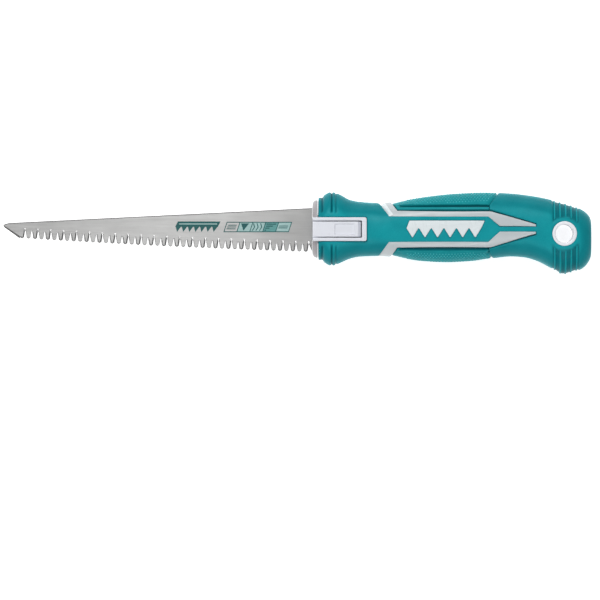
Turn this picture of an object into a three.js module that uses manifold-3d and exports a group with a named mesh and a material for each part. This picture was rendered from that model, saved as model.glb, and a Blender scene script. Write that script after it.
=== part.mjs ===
// A drywall (jab) saw: a tapered blade held by a press latch in a two-shell handle with a soft grip.
//
// Handle axes used below, in millimetres: x runs back from the collar's front face to the tail,
// y points towards the palm, z points out of the face that carries the latch, and z = 0 is the
// blade's mid-plane. The exported group moves all of it so that the saw lies on the face without
// the latch, with the origin under the middle of its outline.
import * as THREE from "three";
import { mergeVertices } from "three/addons/utils/BufferGeometryUtils.js";
import Module from "manifold-3d";

const wasm = await Module();
wasm.setup();

// ---- Driving dimensions ----------------------------------------------------------------------

const PLAY = 0.15; // between pieces that slide, turn or butt
const SKIN_GAP = 0.3; // between the soft skins and the shells under them
const PAST = 30; // how far a cutting tool runs past the handle

const blade = {
  length: 152.4, // six inches in front of the collar
  thickness: 1.2,
  spineAtCollar: 10.5,
  spineAtTip: 3.3,
  teethAtCollar: -11.3,
  teethAtTip: -4.4,
  firstTooth: -144.6,
  lastTooth: -0.9,
  pitch: 25.4 / 8, // eight teeth to the inch
  toothBow: 0.6, // how far the tooth line bellies out half way along
  toothDepth: 3.8,
  tipHalf: 0.95, // the ground tip's half width
  tipRise: 0.6,
  rootHalf: 0.12,
  tangLength: 36,
  tangHalf: 5.5,
  tangChamfer: 1.5,
  // The spine runs down to a rounded nose, and the slanted end below it plunges into the board:
  // [distance back from the tip, drop below the spine].
  nose: [[4.2, 0], [1.8, 0.2], [0.5, 0.8], [0, 1.6], [0.5, 2.4]],
};

const handle = {
  front: 2.8,
  tail: 137.1,
  flat: 12.5, // the faces are cut flat this far from the mid-plane
  squareness: 2.5, // exponent of the rounded section: 2 is an ellipse, more is boxier
  skin: 2, // thickness of the soft grip
  wall: 2.5, // thickness of the hard shells
  inlay: 0.5, // how far the hard stripes lie under the grip's surface
  step: 4, // between sections, which crowd together towards the tail
  crowding: 0.06,
  sides: 24,
  mouthHalfWidth: 13.3, // the soft grip's front face is open inside this
  mouthHalfHeight: 8.6,
  mouthDepth: 10,
};

// Heights of the palm edge and the finger edge, and half the thickness, at places along the handle.
const palmEdge = smoothLine([
  [2.6, 15.3], [5, 16.5], [9.4, 18.5], [13.8, 17], [18.2, 14.6], [23, 13.6], [33, 13],
  [42, 14], [56, 16.2], [70, 17.7], [84, 18.25], [98, 17.6], [110, 16.1], [120, 13.9],
  [129, 11.3], [132.2, 9.9], [134.6, 8.3], [136.2, 6.6], [137.1, 4.6],
]);
const fingerEdge = smoothLine([
  [2.6, -14.8], [5, -15.9], [9.4, -18], [13.8, -16.5], [18.2, -14.6], [23, -13.5], [33, -13.15],
  [42, -14.1], [54, -15.8], [66, -16.4], [78, -15.8], [88, -14.4], [98, -13.4], [104, -13.8],
  [110, -15.4], [118, -19.4], [123.2, -22.3], [129, -20.8], [132.5, -19.5], [135, -17.4],
  [136.3, -15.4], [137.1, -13.6],
]);
const halfThickness = smoothLine([
  [2.6, 11.2], [9.4, 13.2], [18, 12], [28, 11.4], [40, 12.7], [64, 13.1], [86, 12.9],
  [100, 12.2], [116, 12.9], [126, 12.9], [130, 12.3], [133.5, 11], [135.6, 9.6], [137.1, 8],
]);

const collar = {
  thickness: 2.5,
  halfWidth: 14.2,
  halfHeight: 10.4,
  middle: 0.2,
  rounding: 2.4, // how far the front edge is drawn in
  shoulder: 0.3, // and how far half way back through the rounding
};

const holder = { front: 1, end: 48, half: 6.9, bottom: -5, top: 7.2 };

// The window that the latch works in, open at the front.
const latchWindow = {
  rear: 24.25,
  half: 4.2,
  floor: 2.6,
  frameRear: 26.6,
  frameHalf: 5.8,
  frameTop: 13,
  // Below hollowTop the rear wall draws back to hollowRear, where the latch's end swings down.
  hollowTop: 11.2,
  hollowFull: 8.4,
  hollowRear: 24.95,
};

const latch = {
  front: 0.1,
  rear: 22.6,
  half: 3.75,
  top: 12.9,
  underside: 9.8,
  pivotX: 11.5,
  pivotZ: 5.6,
  boss: 2.4,
  hookFront: 3.6,
  hookRear: 5.6,
  hookHalf: 1.7,
  hookTip: -0.9,
  hookSweep: 1.5, // how far the hook swings forward as it lifts
  padFront: 10.8,
  padRear: 20.6,
  padHalf: 2.7,
  padDepth: 0.55,
  topRear: 22.35, // the top slopes from here down to the rear end
  end: 23.75,
  endLow: 10.9,
  endHigh: 11.3,
  peg: 1.1, // radius of the peg that keeps the spring in place
};

const pin = { radius: 1, half: 6.8, sides: 20 };
const spring = { x: 18.2, radius: 1.9, wire: 0.6, turns: 6, stepsPerTurn: 12 };

// Hard stripe on the palm side of each face: a bent bar that ends in a pointed jaw. The finger
// side mirrors it. The outer end runs off the edge of the handle.
const stripeOuter = 9.5;
const stripeInner = 6.5;
const stripeStart = 37.6;
const stripeLean = 0.72; // how far the stripe's front end leans forward for each unit of height
const stripeOff = 23;
const padStart = 41.8;
const padEnd = 86.9;
const stripeOutline = [
  [stripeStart - stripeLean * (stripeOff - stripeInner), stripeOff],
  [stripeStart, stripeInner],
  [86.4, stripeInner],
  [92, 1.4],
  [109.8, 1.4],
  [109.8, 2.7],
  [87.4, stripeOuter],
  [padStart, stripeOuter],
  [padStart - stripeLean * (stripeOff - stripeOuter), stripeOff],
];
const padOutline = [
  [padStart - stripeLean * (stripeOff - stripeOuter), stripeOff],
  [padStart, stripeOuter],
  [padEnd, stripeOuter],
  [padEnd, 11.9],
  [95.4, stripeOff],
];

// Inlaid badge: a bar with a row of plain saw teeth under it.
const badge = { start: 46, end: 83, top: 4.2, bar: 0.4, tip: -4.2, teeth: 6, thickness: 0.9, proud: 0.15 };

const eyelet = {
  x: 123.8, y: -2.2, bore: 4.45, wall: 0.55, flange: 6.1, flangeThickness: 1.3, below: 0.2, sides: 32,
};

// Screws come in from the face without the latch: [name, x, y, depth of the head's seat].
const screws = [
  ["screw_nose_palm", 17, 10.2, 6.2],
  ["screw_nose_finger", 17, -10.2, 6.2],
  ["screw_middle", 43.6, 0, 9],
  ["screw_rear_palm", 103, 9.2, 6.8],
  ["screw_rear_finger", 103, -8, 6.4],
];
const screw = {
  radius: 1.4, head: 2.6, headThickness: 1.9, point: 2, length: 12, access: 3.1, post: 3.4, sides: 16,
};
const middleScrew = screws[2];

// Hollow stretches between the webs that the screws and the eyelet bear on: [from, to].
const pockets = [[52, 95], [109, 114]];

// ---- Materials -------------------------------------------------------------------------------

const plastic = (color, roughness) => new THREE.MeshStandardMaterial({ color, roughness, metalness: 0 });
const metal = (color, roughness) => new THREE.MeshStandardMaterial({ color, roughness, metalness: 1 });
const softTeal = plastic(0x12868c, 0.55);
const shellGrey = plastic(0xc2c3c6, 0.45);
const holderWhite = plastic(0xe3e5ea, 0.4);
const bladeSteel = metal(0xb8b8b8, 0.35);
const wireSteel = metal(0x9a9c9f, 0.3);
const screwSteel = metal(0x8c8e92, 0.35);

// ---- Lines and outlines ----------------------------------------------------------------------

// A smooth line through [x, value] points that never swings past them.
function smoothLine(points) {
  const gaps = points.slice(1).map(([x], i) => x - points[i][0]);
  const rises = points.slice(1).map(([, v], i) => (v - points[i][1]) / gaps[i]);
  const slopes = points.map((_, i) => {
    if (i === 0) return rises[0];
    if (i === points.length - 1) return rises[i - 1];
    if (rises[i - 1] * rises[i] <= 0) return 0;
    const before = 2 * gaps[i] + gaps[i - 1];
    const after = gaps[i] + 2 * gaps[i - 1];
    return (before + after) / (before / rises[i - 1] + after / rises[i]);
  });
  return (x) => {
    let i = 0;
    while (i < gaps.length - 1 && x > points[i + 1][0]) i += 1;
    const t = (x - points[i][0]) / gaps[i];
    const rise = points[i + 1][1] - points[i][1];
    const s = t * t * (3 - 2 * t);
    const bends = (t * (1 - t) ** 2) * slopes[i] - (t * t * (1 - t)) * slopes[i + 1];
    return points[i][1] + rise * s + gaps[i] * bends;
  };
}

const mirrored = (outline) => outline.map(([x, y]) => [x, -y]).reverse();

// The anticlockwise outline with every edge moved outwards.
function grown(outline, distance) {
  const normal = ([ax, ay], [bx, by]) => {
    const length = Math.hypot(bx - ax, by - ay);
    return [(by - ay) / length, (ax - bx) / length];
  };
  return outline.map((point, i) => {
    const [ax, ay] = normal(outline.at(i - 1), point);
    const [bx, by] = normal(point, outline[(i + 1) % outline.length]);
    const share = distance / (1 + ax * bx + ay * by);
    return [point[0] + share * (ax + bx), point[1] + share * (ay + by)];
  });
}

// ---- Solids ----------------------------------------------------------------------------------

function solidOf(geometry) {
  const bare = new THREE.BufferGeometry().setAttribute("position", geometry.getAttribute("position"));
  if (geometry.index) bare.setIndex(geometry.index);
  const merged = mergeVertices(bare, 1e-4);
  return new wasm.Manifold(new wasm.Mesh({
    numProp: 3,
    vertProperties: merged.attributes.position.array,
    triVerts: new Uint32Array(merged.index.array),
  }));
}

function geometryOf(solid) {
  const mesh = solid.getMesh();
  const indexed = new THREE.BufferGeometry();
  indexed.setAttribute("position", new THREE.BufferAttribute(mesh.vertProperties, mesh.numProp));
  indexed.setIndex(new THREE.BufferAttribute(mesh.triVerts, 1));
  const flat = indexed.toNonIndexed();
  flat.computeVertexNormals();
  return flat;
}

function box([x0, x1], [y0, y1], [z0, z1]) {
  const geometry = new THREE.BoxGeometry(x1 - x0, y1 - y0, z1 - z0);
  return solidOf(geometry.translate((x0 + x1) / 2, (y0 + y1) / 2, (z0 + z1) / 2));
}

function shapeOf(outline) {
  return new THREE.Shape(outline.map(([x, y]) => new THREE.Vector2(x, y)));
}

// The outline in x and y, drawn out from z0 to z1.
function prism(outline, z0 = -PAST, z1 = PAST) {
  const geometry = new THREE.ExtrudeGeometry(shapeOf(outline), { depth: z1 - z0, bevelEnabled: false });
  return solidOf(geometry.translate(0, 0, z0));
}

// An outline in x and z, drawn out over y from -half to half.
function sideProfile(outline, half) {
  const geometry = new THREE.ExtrudeGeometry(shapeOf(outline), { depth: 2 * half, bevelEnabled: false });
  return solidOf(geometry.rotateX(Math.PI / 2).translate(0, half, 0));
}

function uprightCylinder(x, y, radius, z0, z1, sides = eyelet.sides) {
  const geometry = new THREE.CylinderGeometry(radius, radius, z1 - z0, sides);
  return solidOf(geometry.rotateX(Math.PI / 2).translate(x, y, (z0 + z1) / 2));
}

function crossCylinder(x, z, radius, half, sides) {
  return solidOf(new THREE.CylinderGeometry(radius, radius, 2 * half, sides).translate(x, 0, z));
}

// A closed body through rings of [x, y, z] points, one ring for each station.
function loft(rings) {
  const count = rings[0].length;
  const positions = rings.flat(2);
  const index = [];
  const at = (ring, k) => ring * count + (k % count);
  for (let ring = 0; ring < rings.length - 1; ring += 1) {
    for (let k = 0; k < count; k += 1) {
      index.push(at(ring, k), at(ring, k + 1), at(ring + 1, k + 1));
      index.push(at(ring, k), at(ring + 1, k + 1), at(ring + 1, k));
    }
  }
  const last = rings.length - 1;
  for (let k = 1; k < count - 1; k += 1) {
    index.push(at(0, 0), at(0, k + 1), at(0, k));
    index.push(at(last, 0), at(last, k), at(last, k + 1));
  }
  const geometry = new THREE.BufferGeometry();
  geometry.setAttribute("position", new THREE.Float32BufferAttribute(positions, 3));
  geometry.setIndex(index);
  return solidOf(geometry);
}

function roundedRing(x, middle, halfY, halfZ, flat) {
  const power = 2 / handle.squareness;
  const bulge = (v) => Math.sign(v) * Math.abs(v) ** power;
  return Array.from({ length: handle.sides }, (_, k) => {
    const angle = (2 * Math.PI * k) / handle.sides;
    const z = THREE.MathUtils.clamp(halfZ * bulge(Math.sin(angle)), -flat, flat);
    return [x, middle + halfY * bulge(Math.cos(angle)), z];
  });
}

// The handle's outer shape, drawn in by `inset` on all sides.
function handleBody(inset) {
  const end = handle.tail - inset;
  const steps = Math.round((end - handle.front) / handle.step);
  // Stations close up towards the tail, where the outline turns quickest.
  const stations = Array.from({ length: steps + 1 }, (_, i) => {
    const t = i / steps;
    return handle.front + (end - handle.front) * (t + handle.crowding * Math.sin(Math.PI * t) * t);
  });
  return loft(stations.map((x) => {
    const top = palmEdge(x) - inset;
    const bottom = fingerEdge(x) + inset;
    const thick = halfThickness(x) - inset;
    return roundedRing(x, (top + bottom) / 2, (top - bottom) / 2, thick, handle.flat - inset);
  }));
}

const upperHalf = () => box([-PAST, handle.tail + PAST], [-PAST, PAST], [PLAY / 2, PAST]);
const lowerHalf = () => box([-PAST, handle.tail + PAST], [-PAST, PAST], [-PAST, -PLAY / 2]);
const stripes = (grow = 0) =>
  prism(grown(stripeOutline, grow)).add(prism(grown(mirrored(stripeOutline), grow)));

// ---- Blade -----------------------------------------------------------------------------------

function bladeOutline() {
  const { firstTooth, lastTooth, teethAtTip, teethAtCollar, toothBow, pitch } = blade;
  const { toothDepth, tipHalf, tipRise, rootHalf } = blade;
  const teeth = Math.floor((lastTooth - firstTooth) / pitch);
  const rise = (teethAtCollar - teethAtTip) / (0 - firstTooth);
  const bow = (x) => toothBow * Math.sin((Math.PI * (x - firstTooth)) / (0 - firstTooth));
  const toothLine = (x) => teethAtTip + rise * (x - firstTooth) - bow(x);
  const points = [[firstTooth + 0.4, toothLine(firstTooth)]];
  for (let i = 0; i < teeth; i += 1) {
    const tip = firstTooth + pitch * (i + 0.5);
    const root = firstTooth + pitch * (i + 1);
    points.push([tip - tipHalf, toothLine(tip) + tipRise], [tip, toothLine(tip)]);
    points.push([tip + tipHalf, toothLine(tip) + tipRise]);
    points.push([root - rootHalf, toothLine(root) + toothDepth]);
    points.push([root + rootHalf, toothLine(root) + toothDepth]);
  }
  const { tangLength, tangHalf, tangChamfer } = blade;
  points.push([-PLAY, teethAtCollar], [-PLAY, -tangHalf]);
  points.push([tangLength - tangChamfer, -tangHalf], [tangLength, tangChamfer - tangHalf]);
  points.push([tangLength, tangHalf - tangChamfer], [tangLength - tangChamfer, tangHalf]);
  points.push([-PLAY, tangHalf], [-PLAY, blade.spineAtCollar]);
  blade.nose.forEach(([back, drop]) => points.push([back - blade.length, blade.spineAtTip - drop]));
  return points;
}

function makeBlade() {
  const half = blade.thickness / 2;
  const hookHole = box(
    [latch.hookFront - latch.hookSweep, latch.hookRear + 2 * PLAY],
    [-latch.hookHalf - PLAY, latch.hookHalf + PLAY],
    [-1, 1],
  );
  return prism(bladeOutline(), -half, half).subtract(hookHole);
}

// ---- Blade holder, latch, pin and spring -----------------------------------------------------

// The collar that the blade's shoulders meet: a rounded plate, eased at its front edge.
function collarPlate() {
  const { thickness, halfWidth, halfHeight, rounding, shoulder, middle } = collar;
  const ring = (x, inset) =>
    roundedRing(x, middle, halfWidth - inset, halfHeight - inset, halfHeight - inset);
  return loft([ring(0, rounding), ring(rounding / 2, shoulder), ring(thickness, 0)]);
}

function makeHolder() {
  const { rear, half, floor, frameRear, frameHalf, frameTop } = latchWindow;
  const { hollowTop, hollowFull, hollowRear } = latchWindow;
  const block = box([holder.front, holder.end], [-holder.half, holder.half], [holder.bottom, holder.top]);
  const frame = box([0.02, frameRear], [-frameHalf, frameHalf], [0, frameTop]);
  const tangSlot = box(
    [-1, blade.tangLength + PLAY],
    [-blade.tangHalf - PLAY, blade.tangHalf + PLAY],
    [-blade.thickness / 2 - PLAY, blade.thickness / 2 + PLAY],
  );
  const hollow = [
    [rear - 1, floor], [hollowRear, floor], [hollowRear, hollowFull],
    [rear, hollowTop], [rear - 1, hollowTop],
  ];
  const room = box([-1, rear], [-half, half], [floor, PAST]).add(sideProfile(hollow, half));
  const hookWay = box(
    [latch.hookFront - latch.hookSweep, latch.hookRear + 1],
    [-latch.hookHalf - PLAY, latch.hookHalf + PLAY],
    [latch.hookTip - 0.4, floor + 1],
  );
  const pinHole = crossCylinder(latch.pivotX, latch.pivotZ, pin.radius + PLAY, holder.half + 1, 24);
  const [, screwX, screwY] = middleScrew;
  const screwWay = uprightCylinder(screwX, screwY, screw.post + 0.2, -PAST, PAST, screw.sides);
  return collarPlate().add(block).add(frame)
    .subtract(tangSlot).subtract(room).subtract(hookWay).subtract(pinHole).subtract(screwWay);
}

function makeLatch() {
  const { front, rear, half, top, underside, topRear, end, endLow, endHigh } = latch;
  const { pivotX, pivotZ, boss, hookFront, hookRear, hookTip } = latch;
  const { padFront, padRear, padHalf, padDepth, peg } = latch;
  const arc = Array.from({ length: 7 }, (_, i) => {
    const angle = -Math.PI * (i / 6);
    return [pivotX + boss * Math.cos(angle), pivotZ + boss * Math.sin(angle)];
  });
  const body = [
    [front, top], [front, underside - 0.4], [hookFront - 0.6, underside - 0.4],
    [hookFront - 0.4, pivotZ], [hookRear, pivotZ - 1.6], ...arc.reverse(),
    [pivotX + boss + 1.6, underside], [rear, underside], [end, endLow],
    [end, endHigh], [topRear, top], [pivotX, top],
  ];
  const leg = [
    [hookFront, hookTip], [hookRear, hookTip], [hookRear, pivotZ + 1], [hookFront, pivotZ + 1],
  ];
  const thumbPad = box([padFront, padRear], [-padHalf, padHalf], [top - padDepth, PAST]);
  const springPeg = uprightCylinder(spring.x, 0, peg, underside - 0.9, underside + 0.5, 12);
  const bore = crossCylinder(pivotX, pivotZ, pin.radius + PLAY, half + 1, 24);
  return sideProfile(body, half).add(sideProfile(leg, latch.hookHalf)).add(springPeg)
    .subtract(thumbPad).subtract(bore);
}

function makePin() {
  return new THREE.CylinderGeometry(pin.radius, pin.radius, 2 * pin.half, pin.sides);
}

// A closed coil standing on z = 0, from the window's floor to the underside of the latch.
function makeSpring() {
  const tall = latch.underside - latchWindow.floor - spring.wire - 2 * PLAY;
  class Coil extends THREE.Curve {
    getPoint(t, target = new THREE.Vector3()) {
      const angle = 2 * Math.PI * spring.turns * t;
      return target.set(spring.radius * Math.cos(angle), spring.radius * Math.sin(angle), tall * t);
    }
  }
  const wire = new THREE.Shape().absellipse(0, 0, spring.wire / 2, spring.wire / 2, 0, 2 * Math.PI);
  const geometry = new THREE.ExtrudeGeometry(wire, {
    steps: spring.stepsPerTurn * spring.turns,
    curveSegments: 3,
    bevelEnabled: false,
    extrudePath: new Coil(),
  });
  return geometryOf(solidOf(geometry));
}

// ---- Shells, grip skins and pads -------------------------------------------------------------

function latchOpening(clearance) {
  const { frameRear, frameHalf } = latchWindow;
  return box([-PAST, frameRear + clearance], [-frameHalf - clearance, frameHalf + clearance], [0, PAST]);
}

function holderRoom() {
  const { end, half, bottom, top } = holder;
  return box([-PAST, end + PLAY], [-half - PLAY, half + PLAY], [bottom - PLAY, top + PLAY]);
}

function makeShellPair() {
  const coreInset = handle.skin + SKIN_GAP;
  const hard = handleBody(coreInset).add(handleBody(handle.inlay).intersect(stripes()));
  const hollow = handleBody(coreInset + handle.wall);
  const inside = pockets.map(([from, to]) => hollow.intersect(box([from, to], [-PAST, PAST], [-PAST, PAST])));
  const [, postX, postY] = middleScrew;
  let shells = hard.subtract(holderRoom());
  inside.forEach((pocket) => { shells = shells.subtract(pocket); });
  // A post in each shell reaches through the holder and takes the middle screw.
  const postTop = holder.top + 1;
  shells = shells.add(uprightCylinder(postX, postY, screw.post, -postTop, postTop, screw.sides));
  screws.forEach(([, x, y, seat]) => {
    const threadEnd = screw.length - seat + 1;
    shells = shells.subtract(uprightCylinder(x, y, screw.access, -PAST, -seat, screw.sides));
    shells = shells.subtract(uprightCylinder(x, y, screw.radius + PLAY, -PAST, threadEnd, screw.sides));
  });
  const eyeletHole = eyelet.bore + 2 * eyelet.wall + 3 * PLAY;
  shells = shells.subtract(uprightCylinder(eyelet.x, eyelet.y, eyeletHole, -PAST, PAST));
  const upper = shells.intersect(upperHalf()).subtract(latchOpening(PLAY));
  return [upper, shells.intersect(lowerHalf())];
}

function softLayer() {
  let layer = handleBody(0).subtract(handleBody(handle.skin));
  layer = layer.subtract(uprightCylinder(eyelet.x, eyelet.y, eyelet.flange + SKIN_GAP, -PAST, PAST));
  // The front face stays open for the shells' ends and the holder.
  const { mouthHalfWidth, mouthHalfHeight, mouthDepth } = handle;
  const mouth = (x) => roundedRing(x, 0, mouthHalfWidth, mouthHalfHeight, mouthHalfHeight);
  return layer.subtract(loft([mouth(0), mouth(mouthDepth)]));
}

function badgeOutline() {
  const { start, end, top, bar, tip, teeth } = badge;
  const pitch = (end - start) / teeth;
  const points = [];
  for (let i = 0; i < teeth; i += 1) {
    points.push([start + pitch * i + 0.2, bar], [start + pitch * (i + 0.5), tip]);
    points.push([start + pitch * (i + 1) - 0.2, bar]);
  }
  return [...points, [end + 1.6, top], [start + 1.6, top]];
}

function makeBadge() {
  const { thickness, proud } = badge;
  return prism(badgeOutline(), handle.flat + proud - thickness, handle.flat + proud);
}

function makeGrip() {
  const layer = softLayer();
  const pads = [padOutline, mirrored(padOutline)];
  let skin = layer.subtract(stripes(SKIN_GAP));
  pads.forEach((outline) => { skin = skin.subtract(prism(outline)); });
  screws.forEach(([, x, y]) => {
    skin = skin.subtract(uprightCylinder(x, y, screw.access, -PAST, 0, screw.sides));
  });
  const badgeSeat = prism(
    grown(badgeOutline(), PLAY),
    handle.flat + badge.proud - badge.thickness - PLAY,
    PAST,
  );
  const padPair = (outline) => {
    const pad = layer.intersect(prism(grown(outline, -SKIN_GAP)));
    return [pad.intersect(upperHalf()), pad.intersect(lowerHalf())];
  };
  return {
    upper: skin.intersect(upperHalf()).subtract(latchOpening(SKIN_GAP)).subtract(badgeSeat),
    lower: skin.intersect(lowerHalf()),
    palm: padPair(pads[0]),
    finger: padPair(pads[1]),
  };
}

// ---- Eyelet and screws -----------------------------------------------------------------------

// A flanged tube round the z axis, with its flange's outer face at z = 0 and the tube below it.
function flangedTube(bore, wall, length) {
  const { flange, flangeThickness } = eyelet;
  const profile = [
    [bore + 0.7, 0], [flange - 0.5, 0], [flange, -0.5], [flange, -flangeThickness],
    [bore + wall, -flangeThickness], [bore + wall, -length], [bore, -length], [bore, -0.7], [bore + 0.7, 0],
  ];
  const points = profile.map(([r, z]) => new THREE.Vector2(r, z)).reverse();
  return new THREE.LatheGeometry(points, eyelet.sides).rotateX(Math.PI / 2);
}

// A screw with its head's bearing face at z = 0 and its shank up +z.
function screwGeometry() {
  const { radius, head, headThickness, point, length, sides } = screw;
  const profile = [
    [0, -headThickness], [head * 0.7, -headThickness], [head, -headThickness * 0.4], [head, 0],
    [radius, 0], [radius, length - point], [0, length],
  ];
  const points = profile.map(([r, z]) => new THREE.Vector2(r, z));
  return new THREE.LatheGeometry(points, sides).rotateX(Math.PI / 2);
}

// ---- Assembly --------------------------------------------------------------------------------

const saw = new THREE.Group();

function place(name, shape, material, position = [0, 0, 0]) {
  const geometry = shape.isBufferGeometry ? shape : geometryOf(shape);
  const mesh = new THREE.Mesh(geometry, material);
  mesh.name = name;
  mesh.position.set(...position);
  saw.add(mesh);
  return mesh;
}

place("blade", makeBlade(), bladeSteel);
place("blade_holder", makeHolder(), holderWhite);
place("latch_lever", makeLatch(), holderWhite);
place("latch_pin", makePin(), wireSteel, [latch.pivotX, 0, latch.pivotZ]);
place("latch_spring", makeSpring(), wireSteel, [spring.x, 0, latchWindow.floor + PLAY + spring.wire / 2]);

const [upperShell, lowerShell] = makeShellPair();
place("upper_shell", upperShell, shellGrey);
place("lower_shell", lowerShell, shellGrey);

const grip = makeGrip();
place("upper_grip", grip.upper, softTeal);
place("lower_grip", grip.lower, softTeal);
place("palm_pad_upper", grip.palm[0], softTeal);
place("palm_pad_lower", grip.palm[1], softTeal);
place("finger_pad_upper", grip.finger[0], softTeal);
place("finger_pad_lower", grip.finger[1], softTeal);
place("badge_inlay", makeBadge(), shellGrey);

const faceLevel = handle.flat - eyelet.below;
const innerTube = flangedTube(eyelet.bore, eyelet.wall, 2 * faceLevel - 1);
const outerTube = flangedTube(eyelet.bore + eyelet.wall + PLAY, eyelet.wall, faceLevel - 2);
place("eyelet_upper", innerTube, holderWhite, [eyelet.x, eyelet.y, faceLevel]);
place("eyelet_lower", outerTube, holderWhite, [eyelet.x, eyelet.y, -faceLevel]).rotation.x = Math.PI;

screws.forEach(([name, x, y, seat]) => {
  place(name, screwGeometry(), screwSteel, [x, y, -seat - PLAY]);
});

// The saw lies on its lower face, with the origin under the middle of its outline.
const outline = new THREE.Box3().setFromObject(saw, true);
saw.position.set(
  -(outline.min.x + outline.max.x) / 2,
  -(outline.min.y + outline.max.y) / 2,
  -outline.min.z,
);

export default saw;
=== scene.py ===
# Drywall saw: the looks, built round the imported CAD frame.
import math

import bpy
import bmesh
import numpy as np
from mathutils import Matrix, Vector
from mathutils.geometry import delaunay_2d_cdt


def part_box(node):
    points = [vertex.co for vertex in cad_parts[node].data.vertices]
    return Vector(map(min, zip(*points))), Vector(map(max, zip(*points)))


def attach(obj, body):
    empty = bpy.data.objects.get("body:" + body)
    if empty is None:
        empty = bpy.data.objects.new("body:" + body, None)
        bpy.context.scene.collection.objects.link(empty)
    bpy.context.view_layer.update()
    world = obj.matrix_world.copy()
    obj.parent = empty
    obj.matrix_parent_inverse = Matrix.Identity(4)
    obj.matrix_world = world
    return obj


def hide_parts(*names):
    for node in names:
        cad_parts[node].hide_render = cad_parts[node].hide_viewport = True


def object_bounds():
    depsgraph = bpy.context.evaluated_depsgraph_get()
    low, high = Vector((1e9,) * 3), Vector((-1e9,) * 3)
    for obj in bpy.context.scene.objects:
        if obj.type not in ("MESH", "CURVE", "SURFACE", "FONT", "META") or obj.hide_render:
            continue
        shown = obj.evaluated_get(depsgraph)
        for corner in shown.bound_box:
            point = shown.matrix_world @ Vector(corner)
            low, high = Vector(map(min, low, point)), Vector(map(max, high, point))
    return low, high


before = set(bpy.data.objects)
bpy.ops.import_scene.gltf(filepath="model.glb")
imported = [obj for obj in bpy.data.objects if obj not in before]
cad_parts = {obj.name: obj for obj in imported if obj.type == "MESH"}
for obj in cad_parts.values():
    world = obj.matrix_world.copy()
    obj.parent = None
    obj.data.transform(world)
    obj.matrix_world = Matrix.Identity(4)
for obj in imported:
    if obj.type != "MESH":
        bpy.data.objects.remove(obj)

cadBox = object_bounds()
print("frame loaded")

mm = 0.001
scene = bpy.context.scene
gripLow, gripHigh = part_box("upper_grip")
eyeLow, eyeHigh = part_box("eyelet_upper")
bladeLow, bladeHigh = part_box("blade")

# Handle axes in millimetres: x runs back from the collar's front face, y towards the palm,
# z out of the latch face, and z = 0 is the blade's mid-plane.
handle = {
    "front": 2.8,
    "tail": 137.1,
    "flat": 12.5,            # the faces are cut flat this far from the mid-plane
    "squareness": 2.5,       # 2 is an ellipse, more is boxier
    "tailRounding": 0.5,
    "wrap": 15.0,            # the section's mean radius, which turns an angle into a length
    "palmEdge": [(2.6, 15.3), (5, 16.5), (9.4, 18.4), (13.8, 17), (18.2, 14.6), (23, 13.6), (33, 13),
                 (42, 14), (56, 16.2), (70, 17.7), (84, 18.25), (98, 17.6), (110, 16.1), (120, 13.9),
                 (129, 11.3), (132.2, 9.9), (134.6, 8.3), (136.2, 6.6), (137.1, 4.6)],
    "fingerEdge": [(2.6, -14.8), (5, -15.9), (9.4, -18), (13.8, -16.5), (18.2, -14.6), (23, -13.5),
                   (33, -13.15), (42, -14.1), (54, -15.8), (66, -16.4), (78, -15.8), (88, -14.4),
                   (98, -13.4), (104, -13.8), (110, -15.4), (118, -19.4), (123.2, -22.3), (129, -20.8),
                   (132.5, -19.5), (135, -17.4), (136.3, -15.4), (137.1, -13.6)],
    "halfThickness": [(2.6, 11.2), (9.4, 13.2), (18, 12), (28, 11.4), (40, 12.7), (64, 13.1), (86, 12.9),
                      (100, 12.2), (116, 12.9), (126, 12.9), (130, 12.3), (133.5, 11), (135.6, 9.6),
                      (137.1, 8)],
    "flatEasing": 0.35,
    "capShare": 0.995,       # the tail's cap stops just short of its middle
    "skin": 2.0,             # the grips' and the pads' thickness
    "core": 2.2,             # how deep the shells lie under the handle's surface
    "wall": 2.5,
}
eyelet = {"x": 123.8, "y": -2.2, "bore": 4.45, "flange": 6.1, "wall": 0.55, "below": 0.2}
origin = Vector((
    gripHigh.x / mm - handle["tail"],
    (eyeLow.y + eyeHigh.y) / 2 / mm - eyelet["y"],
    (bladeLow.z + bladeHigh.z) / 2 / mm,
))


def toRow(points):   # handle millimetres to the row frame in metres
    return (np.asarray(points, float).reshape(-1, 3) + np.array(origin)) * mm


def smoothLine(points):   # a smooth line through (x, value) points that never swings past them
    xs, values = np.array(points, float).T
    gaps = np.diff(xs)
    rises = np.diff(values) / gaps
    slopes = np.zeros(len(xs))
    slopes[0], slopes[-1] = rises[0], rises[-1]
    for i in range(1, len(xs) - 1):
        before, after = 2 * gaps[i] + gaps[i - 1], gaps[i] + 2 * gaps[i - 1]
        if rises[i - 1] * rises[i] > 0:
            slopes[i] = (before + after) / (before / rises[i - 1] + after / rises[i])

    def line(x):
        x = np.clip(x, xs[0], xs[-1])
        i = np.clip(np.searchsorted(xs, x, side="right") - 1, 0, len(gaps) - 1)
        t = (x - xs[i]) / gaps[i]
        bends = t * (1 - t) ** 2 * slopes[i] - t * t * (1 - t) * slopes[i + 1]
        return values[i] + (values[i + 1] - values[i]) * t * t * (3 - 2 * t) + gaps[i] * bends
    return line


palmEdge = smoothLine(handle["palmEdge"])
fingerEdge = smoothLine(handle["fingerEdge"])
halfThickness = smoothLine(handle["halfThickness"])
fullWrap = math.pi * handle["wrap"]
capStart = handle["tail"] - handle["tailRounding"]
capReach = float(halfThickness(handle["tail"]))
domainEnd = capStart + handle["tailRounding"] * (math.pi / 2 - 1) + capReach * handle["capShare"]


# The handle's skin is laid out flat: x along it, and v round it from the palm's parting line.
def sectionAt(x):
    top, bottom = palmEdge(x), fingerEdge(x)
    return (top - bottom) / 2, (top + bottom) / 2, halfThickness(x)


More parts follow.
